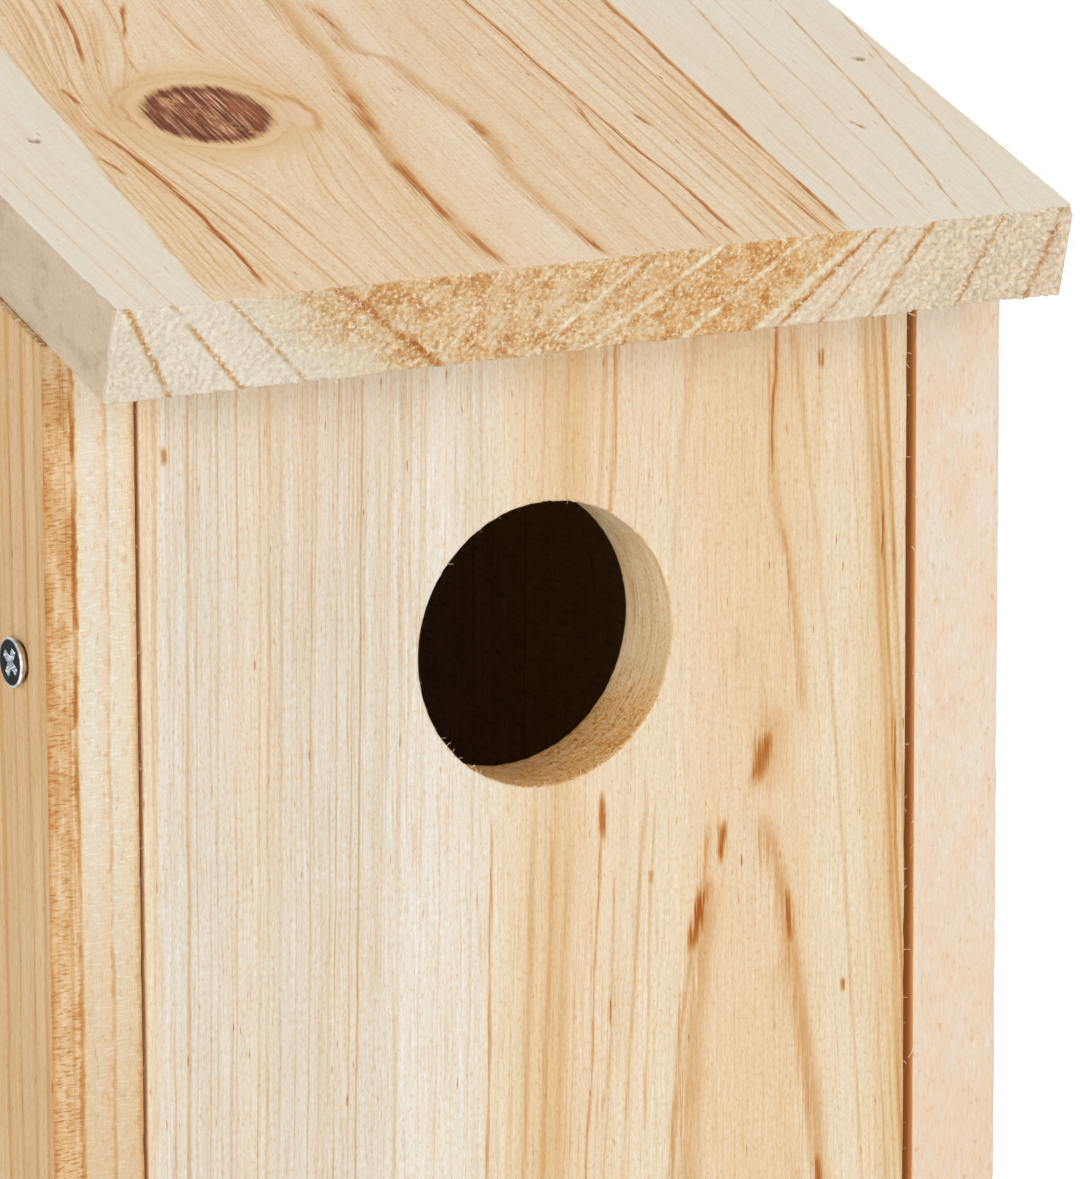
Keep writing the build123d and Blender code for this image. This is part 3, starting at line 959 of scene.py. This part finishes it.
screw_zinc = zinc("screw_zinc", 3.0, shade(232, 234, 237), shade(150, 156, 164), 0.14, head_painted_reflection)
screw_sizes = {"Head X": head_x * MM, "Axis Y": screw_y * MM, "Axis Z": pivot_z * MM,
               "Thread start": 11.5 * MM, "Turns": 11.0, "Thread radius": 1.08 * MM,
               "Thread length": 14.5 * MM, "Ridge": 0.42 * MM}
pivot_screws = grow("pivot_screws", screw_blank, screw_sizes, drive_screws, screw_zinc)
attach(pivot_screws, "front")
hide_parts("left_pivot_screw", "right_pivot_screw")


# Roof: one wide flat-sawn board with a knot, heartwood in its middle and pale sapwood along
# both sides, planed on top, its ends left rough from the saw. Six brads hold it down.
roof_low, roof_high = (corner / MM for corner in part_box("roof"))
roof_half = roof_high.x
roof_up = Vector((0, math.cos(roof_slope), math.sin(roof_slope)))
roof_in = Vector((0, math.sin(roof_slope), -math.cos(roof_slope)))
roof_corner = Vector((0, roof_low.y, roof_low.z + board_thick * math.cos(roof_slope)))
roof_lay = place_board(roof_corner, (1, 0, 0), roof_up, roof_in)
roof_length = (roof_high.z - roof_corner.z) / math.sin(roof_slope)
brad_lean = math.tan(math.radians(10))
side_brad_along = (41, 108.8)
left_brad_x = -49.6
right_brad_x = 54.6
rear_brad_along = 140.44
roof_rear_brad_x = (-30, 30)
roof_holes = [(left_brad_x, along, brad_way, -brad_lean, 1.0) for along in side_brad_along]
roof_holes += [(right_brad_x, along, brad_way, 0, 1.0) for along in side_brad_along]
roof_holes += [(side, rear_brad_along, brad_way, 0, 1.0) for side in roof_rear_brad_x]
roof_corners = [(-roof_half, 0), (roof_half, 0), (roof_half, roof_length), (-roof_half, roof_length)]
roof_chips = [
    (-roof_half, 0, 0.6, 1.6, 0.7), (-roof_half, 2.6, 0.0, 1.6, 0.6), (-roof_half, 0, 7.5, 1.8, 0.5),
    (-roof_half, 6.5, 0.0, 1.3, 0.4), (-57.5, 0, 0.0, 1.2, 0.4), (roof_half, 0, 0, 1.2, 0.5),
]
roof_ragged_from = 34
roof = saw_board("roof_board", roof_lay, roof_corners, board_thick, roof_holes, step=0.9, end_step=0.22,
                 layers=46, seed=6, tear=1.4, crumble=0.5, chips=roof_chips, ragged_from=roof_ragged_from)
roof_heart = Heart(-6.5, -30, 0, 0.0, 0)
roof_tints = [
    (-62, WHEAT), (-40, WHEAT), (-36, WHEAT), (-30, WHEAT), (-20, WHEAT), (-14, WHEAT), (-9, WHEAT),
    (-4, BLUSH), (1, WHEAT), (5, WHEAT), (12, WHEAT), (15, WHEAT), (20, STRAW), (24, WHEAT), (29, WHEAT),
    (62, HONEY),
]
roof_lines = [
    (-55.0, 0, 0.3, 0.22), (-51.6, 0, 0.25, 0.28), (-38.4, 0, 0.4, 0.35), (-37.4, 0, 0.3, 0.35),
    (-36.2, 0, 0.35, 0.4, 6, None), (-34.5, 0, 0.4, 0.35, 12, None), (-32.4, 0, 0.3, 0.4),
    (-29.6, 0, 0.3, 0.3), (-24.0, 0, 0.4, 0.25), (-20.0, 0, 0.4, 0.2), (-17.0, 0, 0.4, 0.2),
    (12.8, 0, 0.4, 0.3), (14.4, 0, 0.3, 0.35), (18.2, 0, 0.3, 0.35), (20.5, 0, 0.4, 0.35),
    (22.2, 0, 0.3, 0.35), (23.6, 0, 0.4, 0.4), (25.6, 0, 0.3, 0.35), (27.4, 0, 0.35, 0.5),
    (29.2, 0, 0.3, 0.4),
]
sap_line = [
    (0, -48.0), (12, -47.2), (20, -46.6), (30, -45.7), (37.7, -44.9), (41.7, -44.4), (49, -44.1),
    (57, -43.5), (63.6, -43.0), (74.5, -42.2), (100, -40.8), (150, -38.6),
]
knot_line = [
    (0, -40.8), (12, -40.2), (20, -40.0), (30, -40.3), (37.7, -41.0), (41.7, -41.8), (49, -40.6),
    (57, -37.6), (63.6, -35.0), (74.5, -31.4), (100, -26.0), (150, -20.0),
]
right_sap_line = [(0, 29.9), (29.1, 31.3), (61.5, 33.0), (150, 37.5)]
roof_sap = [(sap_line, -1, CREAM), (right_sap_line, 1, CREAM)]


def between(first, second, share):
    """A run part of the way from one run to another through the same places along the board."""
    return [(along, u + (v - u) * share) for (along, u), (_, v) in zip(first, second)]


roof_streaks = [
    ([(44, -42.2), (41.5, -41.8), (37.7, -41.0), (30, -40.2), (20, -39.9), (11, -40.1),
      (1, -40.8)], 0.6, 1.0),
    ([(76, -31.0), (66.3, -32.9), (61, -34.6), (56.7, -35.9)], 0.55, 0.95),
    ([(72, -28.6), (64, -31.4), (55, -35.0)], 2.2, 0.2),
    ([(73, -23.6), (69.9, -24.9), (66, -26.7), (62.4, -28.5)], 0.5, 0.9),
    ([(62.4, -28.5), (57, -30.2), (52, -31.0)], 0.4, 0.4),
    ([(72.2, -20.2), (64.7, -20.9), (56, -20.2)], 0.4, 0.4),
    ([(53, -40.9), (50, -40.7), (47.5, -40.6)], 0.5, 0.9),
    ([(36, -44.6), (33, -43.9), (30, -43.4)], 0.35, 0.85),
    ([(150, -1.0), (110, -2.6), (80, -5.2), (66.1, -6.3), (55.9, -7.2), (44.5, -9.1), (37.8, -10.3),
      (26.2, -12.2), (15.1, -13), (6, -12.8), (0, -12.2)], 2.2, 0.36),
    ([(48, -8.4), (44.5, -9.1), (37.8, -10.3), (32, -11.3)], 1.8, 0.75),
    ([(30, -11.6), (22, -12.7), (15, -13.0), (10, -13.0)], 1.2, 0.85),
    ([(12, -12.9), (6, -12.6), (0, -12.0)], 0.6, 0.8),
    ([(70, -4.4), (62, -2.5), (56.2, -3.2), (51.8, -0.4), (45.2, 0.1), (37.5, 1.1), (33.2, 1.4),
      (20, -0.5), (8, -0.4), (0, 0.5)], 1.8, 0.36),
    ([(68, -3.7), (62, -2.6), (58, -2.8)], 0.5, 0.8),
    ([(36.5, 0.9), (33.5, 1.3), (30, 0.9)], 1.3, 0.8),
    ([(9, -0.5), (3.4, -0.2), (0, 0.5)], 0.6, 0.95),
    ([(150, 15.0), (80, 15.8), (42, 16.2), (31.3, 16.4), (22.4, 16.7), (9.4, 17.2), (0, 17.0)], 0.42, 0.85),
    ([(40, 15.4), (36, 15.1), (26.5, 13.9), (11, 13.8), (0, 13.0)], 0.35, 0.65),
    ([(34, 20.7), (31.5, 21.0), (29, 21.3)], 0.35, 0.9),
    ([(150, 34.5), (100, 33.4), (60, 32.4), (34.4, 31.4), (23.7, 31.1), (12.4, 30.8),
      (0, 30.4)], 0.5, 0.75),
    ([(36, 31.4), (30, 31.3), (24, 31.1)], 0.5, 0.95),
    ([(15, 30.9), (12, 30.8), (8, 30.6)], 0.5, 0.95),
    ([(13, 27.3), (6, 27.6), (0, 27.8)], 0.4, 0.7),
    ([(150, 55.0), (60, 42.6), (25.7, 38.5), (0, 36.8)], 0.28, 0.4),
    ([(58, 52.7), (29, 49.6), (0, 44.9)], 0.3, 0.5),
    ([(56, 59.4), (30, 56.0), (9.5, 53.0), (0, 51.4)], 0.28, 0.4),
    ([(70, 46.0), (40, 44.6), (0, 41.6)], 0.25, 0.3),
    ([(30, 34.4), (15, 33.8), (0, 33.2)], 0.3, 0.3),
    ([(26, 44.6), (24.8, 45.1), (23.6, 45.6)], 0.4, 0.8),
]
fan = ((0.06, 0.3), (0.2, 0.18), (0.33, 0.3), (0.45, 0.2), (0.6, 0.34), (0.76, 0.24), (0.9, 0.3))
for share, strength in fan:
    roof_streaks.append((between(sap_line, knot_line, share), 0.3, strength))
roof_ends = [
    (-64, CREAM), (-50, IVORY), (-44, CREAM), (-41, STRAW), (-36, HONEY), (-28, shade(234, 194, 142)),
    (0, shade(237, 201, 151)), (20, shade(235, 186, 123)), (31, shade(235, 191, 132)),
    (33.5, shade(246, 226, 202)), (45, shade(245, 230, 206)), (64, shade(245, 226, 202)),
]
pale_ring = shade(248, 230, 196)
roof_end_lines = [
    (-57.9, -51.6, 0.7, 0.75, None), (-52.7, -43.0, 0.6, 0.75, None), (-46.0, -35.2, 0.6, 0.5, None),
    (-33.0, -19.0, 1.2, 0.7, None), (-13.0, -19.4, 0.35, 0.6, pale_ring),
    (-27.0, -33.0, 0.35, 0.5, pale_ring), (-19.5, -30.0, 0.5, 0.4, pale_ring),
    (5.5, -8.5, 0.6, 0.9, pale_ring), (14.4, -1.9, 1.0, 0.95, pale_ring), (16.6, 1.4, 0.3, 0.7, pale_ring),
    (24.9, 10.5, 0.9, 0.95, pale_ring), (32.7, 19.9, 1.5, 0.85, pale_ring), (33.6, 22.6, 0.6, 0.8, None),
    (36.2, 28.0, 0.5, 0.5, None), (41.0, 34.4, 0.7, 0.75, None), (46.5, 41.0, 0.8, 0.5, pale_ring),
    (50.2, 45.6, 0.5, 0.5, None), (54.0, 50.0, 0.8, 0.45, pale_ring), (58.0, 54.6, 0.8, 0.6, None),
]


def roof_bow(flow, along):
    """Above the knot the grain bears to the right, most of all in the left half of the board."""
    farthest = 6.5
    lift = (along / roof_length).bent([(0, 0), (0.28, 0.0), (0.5, 0.65), (0.75, 1), (1, 1)])
    across_share = flow.share(-60.0, 60.0)
    bearing = across_share.bent([(0, 0.3), (0.15, 0.55), (0.38, 1), (0.5, 0.8), (0.62, 0.1), (1, 0.15)])
    return flow - lift * bearing * farthest


def roof_side(across, along, deep):
    """The roof's long edges: sawn sapwood gone a little grey, in soft blotches."""
    streak = mottle([(deep, 0.6), (along, 0.06)], 3, 0.6, 8.0)
    blotch = mottle([(deep, 0.3), (along, 0.2)], 4, 0.7, 12.0)
    nap = mottle([(deep, 2.6), (along, 1.2)], 3, 0.7, 14.0)
    side = stain(shade(212, 192, 167), shade(222, 200, 172), ease(streak, 0.3, 0.7))
    side = stain(side, STRAW, ease(across, -10, 10, 0.5))
    side = stain(side, shade(198, 170, 147), ease(blotch, 0.5, 0.68, 0.7))
    return soak(side, ease(nap, 0.54, 0.7, 0.12) - ease(nap, 0.46, 0.32, 0.06))


roof_knot = (-27.6, 43.1, 7.0, -17.8, 41.2)
roof_fir = fir("roof_fir", roof_lay, roof_heart, roof_tints, roof_lines, roof_streaks, roof_sap,
               roof_ends, roof_end_lines, bow=roof_bow, knot=roof_knot, edge=roof_side,
               span=(0, roof_length, board_thick, roof_ragged_from),
               fine=0.75, wander=1.0, seed=67.0)
fit_board(roof, roof_fir, "box", "roof")


# Brads: 30 mm galvanised pins, shot through the roof into the walls and back, through the walls
# into the back and floor, and through the back into the floor, each sunk 1 mm below the wood.
brad_radius = 0.6
brad_length = 30.0
brad_sunk = 1.0
brad_sides = 14
rows = []
lean_in = Vector((-brad_lean, 0, 1)).normalized()
for place_x, local in ((left_brad_x, lean_in), (right_brad_x, Vector((0, 0, 1)))):
    rows += [(roof_lay, (place_x, along, 0), local) for along in side_brad_along]
rows += [(roof_lay, (side, rear_brad_along, 0), Vector((0, 0, 1))) for side in roof_rear_brad_x]
for lay in (left_lay, right_lay):
    rows += [(lay, (brad_y, height, 0), Vector((0, 0, 1))) for height in back_brad_heights]
    rows += [(lay, (reach, floor_brad_z, 0), Vector((0, 0, 1))) for reach in floor_brad_reach]
rows += [(back_lay, (side, floor_brad_z, 0), Vector((0, 0, 1))) for side in rear_brad_x]
brad_starts = []
brad_aims = []
for lay, place, local in rows:
    aim = (lay.to_3x3() @ local).normalized()
    brad_starts.append((lay @ Vector(place) + aim * brad_sunk) * MM)
    brad_aims.append(aim)


def aimed_points(name, starts, aims):
    """Loose points that each carry the direction in which something is set there."""
    mesh = bpy.data.meshes.new(name)
    mesh.from_pydata(starts, [], [])
    held = mesh.attributes.new("aim", "FLOAT_VECTOR", "POINT")
    held.data.foreach_set("vector", [part for aim in aims for part in aim])
    return mesh


def carried_aim(bench):
    return bench.node("GeometryNodeInputNamedAttribute", {"Name": "aim"}, data_type="FLOAT_VECTOR")


def aimed(bench):
    """The turn that brings +Z to the direction a point carries."""
    return bench.node("FunctionNodeAlignRotationToVector", {"Vector": carried_aim(bench)}, axis="Z")


def set_brads(bench, starts, size):
    def section(kind, low, high, limits):
        limits.update({"Vertices": brad_sides, "Depth": high - low})
        made = bench.node(kind, limits)
        middle = low + (high - low) * 0.5 if kind == "GeometryNodeMeshCylinder" else low
        return moved(made, bench.vector(z=middle))

    head = size["Radius"] * 0.9
    crown = section("GeometryNodeMeshCone", size["Radius"] * 0.0, size["Crown"],
                    {"Radius Bottom": size["Radius"], "Radius Top": size["Radius"]})
    point_start = size["Length"] - size["Point"]
    shank = section("GeometryNodeMeshCylinder", size["Crown"], point_start, {"Radius": head})
    point = section("GeometryNodeMeshCone", point_start, size["Length"],
                    {"Radius Bottom": head, "Radius Top": size["Radius"] * 0.12})
    return scatter(starts, join(crown, shank, point), Rotation=aimed(bench))


# Painted shade: the brads' steel is darkened to brown, so that their sunk heads read as holes in shade.
brad_steel = zinc("brad_steel", 7.0, shade(96, 86, 76), shade(56, 46, 38), 0.45)
brad_sizes = {"Radius": brad_radius * MM, "Crown": 0.6 * MM, "Length": brad_length * MM, "Point": 2.6 * MM}
brads = grow("brads", aimed_points("brad_points", brad_starts, brad_aims), brad_sizes, set_brads, brad_steel)
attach(brads, "box")
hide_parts("roof_brads_left", "roof_brads_right", "roof_brads_rear", "back_brads_left",
            "back_brads_right", "floor_brads_left", "floor_brads_right", "floor_brads_rear")


# Turning hook: a square-bend screw hook of 3 mm zinc-plated wire, screwed into the right wall's
# front edge. Turned across the gap, its arm keeps the front panel shut.
hook_low, hook_high = (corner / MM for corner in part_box("latch_hook"))
wire_radius = (hook_high.x - hook_low.x) / 2
hook_x = (hook_high.x + hook_low.x) / 2
hook_z = hook_high.z - wire_radius
arm_y = hook_low.y + wire_radius
tip_round = 0.5
gimlet_length = 2.0
wire_sides = 28
shank_end = Vector((hook_x, hook_high.y - gimlet_length, hook_z)) * MM
elbow = Vector((hook_x, arm_y, hook_z)) * MM
arm_tip = Vector((hook_x, arm_y, hook_low.z + tip_round)) * MM
hook_line = bpy.data.meshes.new("hook_line")
hook_line.from_pydata([shank_end, elbow, arm_tip], [(0, 1), (1, 2)], [])


def bend_hook(bench, line, size):
    path = bench.node("GeometryNodeMeshToCurve", {"Mesh": line})
    path = bench.node("GeometryNodeFilletCurve",
                      {"Curve": path, "Count": 12, "Radius": size["Bend"], "Limit Radius": True}, mode="POLY")
    wire = tube(path, wire_sides, size["Wire radius"])
    ball = bench.node("GeometryNodeMeshUVSphere",
                      {"Segments": wire_sides, "Rings": wire_sides // 2, "Radius": size["Wire radius"]})
    ball = moved(ball, arm_tip, Scale=(0.995, 0.995, tip_round / wire_radius))
    gimlet = bench.node("GeometryNodeMeshCone", {
        "Vertices": wire_sides, "Radius Bottom": size["Wire radius"], "Radius Top": size["Wire radius"] * 0.1,
        "Depth": size["Point"]})
    into_wall = (-math.pi / 2, 0, 0)
    gimlet = moved(gimlet, shank_end, Rotation=into_wall)
    start = bench.vector(shank_end.x, size["Thread start"], shank_end.z)
    thread = moved(spiral_thread(bench, size), start, Rotation=into_wall)
    return join(wire, ball, gimlet, thread)


wire_zinc = zinc("wire_zinc", 5.0, shade(206, 208, 211), shade(164, 168, 174), 0.3)
hook_sizes = {"Wire radius": wire_radius * MM, "Bend": 3 * MM, "Point": gimlet_length * MM,
              "Thread start": (front_y + 4) * MM, "Turns": 11.0, "Thread radius": 1.25 * MM,
              "Thread length": 18 * MM, "Ridge": 0.36 * MM}
turning_hook = grow("turning_hook", hook_line, hook_sizes, bend_hook, wire_zinc)
for face in turning_hook.data.polygons:
    face.use_smooth = len(face.vertices) == 4
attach(turning_hook, "latch")
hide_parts("latch_hook")


# Loose fibres: fine wood hairs that the saw and the drill left standing along the roof's edges,
# the panel's and right wall's edges and the rim of the entrance hole.
def hair_roots(chance, runs):
    """Places along straight runs (start, end, outward, count, longest), with leaning directions."""
    rooted = 0.15
    starts, aims = [], []
    for start, end, outward, count, longest in runs:
        start, end, outward = Vector(start), Vector(end), Vector(outward)
        along = (end - start).normalized()
        for _ in range(count):
            place = start.lerp(end, chance.random())
            lean = along * chance.uniform(-1.0, 1.0)
            tilt = Vector((chance.uniform(-0.3, 0.3) for _ in range(3)))
            reach = longest * chance.uniform(0.25, 1.0) ** 2
            starts.append((place - outward.normalized() * rooted) * MM)
            aims.append((outward + lean + tilt).normalized() * reach * MM)
    return starts, aims


def raise_hairs(bench, roots, size):
    curl = bench.node("GeometryNodeCurveQuadraticBezier", {
        "Resolution": 5, "Start": (0, 0, 0), "Middle": (0.05, 0.1, 0.6), "End": (0.35, 0.25, 0.95)})
    length = bench.node("ShaderNodeVectorMath", {0: carried_aim(bench)}, out=1, operation="LENGTH")
    held = scatter(roots, tube(curl, 4, size["Hair radius"]), Rotation=aimed(bench), Scale=length)
    twist = bench.node("FunctionNodeRandomValue", {"Max": 6.28, "Seed": 5}, out=1, data_type="FLOAT")
    return bench.node("GeometryNodeRotateInstances",
                      {"Instances": held, "Rotation": bench.vector(z=twist), "Local Space": True})


def fluff(name, seed):
    """Bleached wood hair, a little darker in places."""
    material, bench = new_paint(name)
    change = mottle([(part, 0.7) for part in millimetres(bench)], 2, 0.6, seed)
    tone = stain(shade(250, 238, 216), shade(228, 198, 156), ease(change, 0.4, 0.65))
    coat(material, {"Base Color": tone, "Roughness": 0.7})
    return material


def upright(x, top):
    """The two ends of a run of hairs up an edge of the front."""
    return (x, front_y, 4), (x, front_y, top)


def on_roof(along, deep):
    """The places on the roof's left and right edge."""
    return [roof_lay @ Vector((side, along, deep)) for side in (-roof_half, roof_half)]


top_left, top_right = on_roof(0, 0)
rear_left, rear_right = on_roof(roof_length, 0)
under_left, under_right = on_roof(0, board_thick)
wall_top = front_height - 5
panel_top = panel_high.z - 4
box_runs = [
    (top_left, top_right, (0, -1, 0.3), 260, 0.7),
    (under_left, under_right, (0, -1, -0.6), 220, 0.9),
    (top_right, under_right, (1, -0.4, 0), 40, 0.9),
    (top_right, rear_right, (1, 0, 0.4), 260, 1.0),
    (top_left, rear_left, (-1, 0, 0.4), 60, 0.6),
    (*upright(right_low.x, wall_top), (-0.6, -1, 0), 90, 1.3),
    (*upright(right_high.x, wall_top), (1, -0.6, 0), 110, 0.9),
    (*upright(left_high.x, wall_top), (0.4, -1, 0), 50, 0.8),
]
front_runs = [
    (*upright(panel_high.x, panel_top), (0.5, -1, 0), 90, 0.8),
    (*upright(panel_low.x, panel_top), (-0.5, -1, 0), 60, 0.6),
]

# The drill tore the rim most at its lower right, so most hairs stand there.
rim_parts = 48
for k in range(rim_parts):
    angle = math.tau * k / rim_parts
    rim = Vector((hole_x + hole_radius * math.cos(angle), front_y, hole_z + hole_radius * math.sin(angle)))
    inward = Vector((-math.cos(angle), -0.5, -math.sin(angle)))
    across_rim = Vector((-math.sin(angle), 0, math.cos(angle)))
    count = round(1 + 6 * max(0.0, -math.sin(angle - 0.4)))
    front_runs.append((rim - across_rim, rim + across_rim, inward, count, 0.6))
fibre_groups = (("box_fibres", "box", box_runs, 17), ("front_fibres", "front", front_runs, 29))
for name, body, runs, seed in fibre_groups:
    starts, aims = hair_roots(random.Random(seed), runs)
    hairs = grow(name, aimed_points(name + "_roots", starts, aims), {"Hair radius": 0.045}, raise_hairs,
                 fluff(name + "_fluff", seed))
    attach(hairs, body)


# Stage: a plain pale floor that renders white and keeps the box's shadow, and a white studio
# round it that is brighter to the eye than the light it gives.
stage_half = 4.0
stage_glow = 0.68
stage_mesh = bpy.data.meshes.new("stage_floor")
stage_mesh.from_pydata([(-stage_half, -stage_half, 0), (stage_half, -stage_half, 0),
                        (stage_half, stage_half, 0), (-stage_half, stage_half, 0)], [], [(0, 1, 2, 3)])
stage_floor = put("stage_floor", stage_mesh)


def in_sight(bench):
    """1 for what the camera sees, straight or mirrored, and 0 for the light that falls on the box."""
    camera, gloss, glass = (bench.node("ShaderNodeLightPath", out=f"Is {kind} Ray")
                            for kind in ("Camera", "Glossy", "Transmission"))
    return camera + gloss + glass


stage_paint, stage_bench = new_paint("stage_white")
seen = in_sight(stage_bench)
glow = stage_bench.node("ShaderNodeCombineColor", {0: seen, 1: seen, 2: seen})
coat(stage_paint, {"Base Color": (0.82, 0.82, 0.82, 1), "Roughness": 0.9, "Emission Strength": stage_glow,
                   "Emission Color": glow})
stage_mesh.materials.append(stage_paint)

world = bpy.data.worlds.new("studio")
world.use_nodes = True
bpy.context.scene.world = world
sky = world.node_tree.nodes["Background"]
sky.inputs["Color"].default_value = (1, 1, 1, 1)
studio_light = 0.4
level = studio_light + in_sight(Tone(world.node_tree)) * (1 - studio_light)
world.node_tree.links.new(level.socket, sky.inputs["Strength"])


# Studio light: three broad soft panels, in front, to the left and above, all aimed at the middle
# of the box.
def soft_panel(name, place, size, power):
    box_middle = Vector((0, 0, 0.15))
    lamp = bpy.data.lights.new(name, "AREA")
    lamp.shape = "DISK"
    lamp.size = size
    lamp.energy = power
    panel_light = put(name, lamp)
    panel_light.location = place
    panel_light.rotation_euler = (box_middle - Vector(place)).to_track_quat("-Z", "Y").to_euler()


soft_panel("front_light", place=(0.45, -1.3, 0.5), size=0.9, power=5.35)
soft_panel("left_light", place=(-1.25, -0.75, 0.5), size=0.9, power=8.6)
soft_panel("top_light", place=(0.2, -0.2, 1.5), size=1.0, power=4.8)

# Camera: the photograph's place and lens, fitted to the box's straight edges and to the round
# entrance hole.
turn = math.radians(28.759)
dip = math.radians(13.127)
roll = math.radians(-0.235)
ahead = Vector((math.sin(turn) * math.cos(dip), math.cos(turn) * math.cos(dip), -math.sin(dip)))
level_right = Vector((math.cos(turn), -math.sin(turn), 0))
level_up = level_right.cross(ahead)
view_right = level_right * math.cos(roll) + level_up * math.sin(roll)
view_up = level_up * math.cos(roll) - level_right * math.sin(roll)
eye = Vector((-474.03, -921.24, 386.33)) * MM
lens = bpy.data.cameras.new("photo_camera")
lens.sensor_width = 36
lens.lens = 280.0
lens.clip_start = 0.05
lens.clip_end = 50
camera = put("photo_camera", lens)
camera.matrix_world = place_board(eye, view_right, view_up, -ahead)
bpy.context.scene.camera = camera
bpy.context.scene.view_settings.view_transform = "Standard"
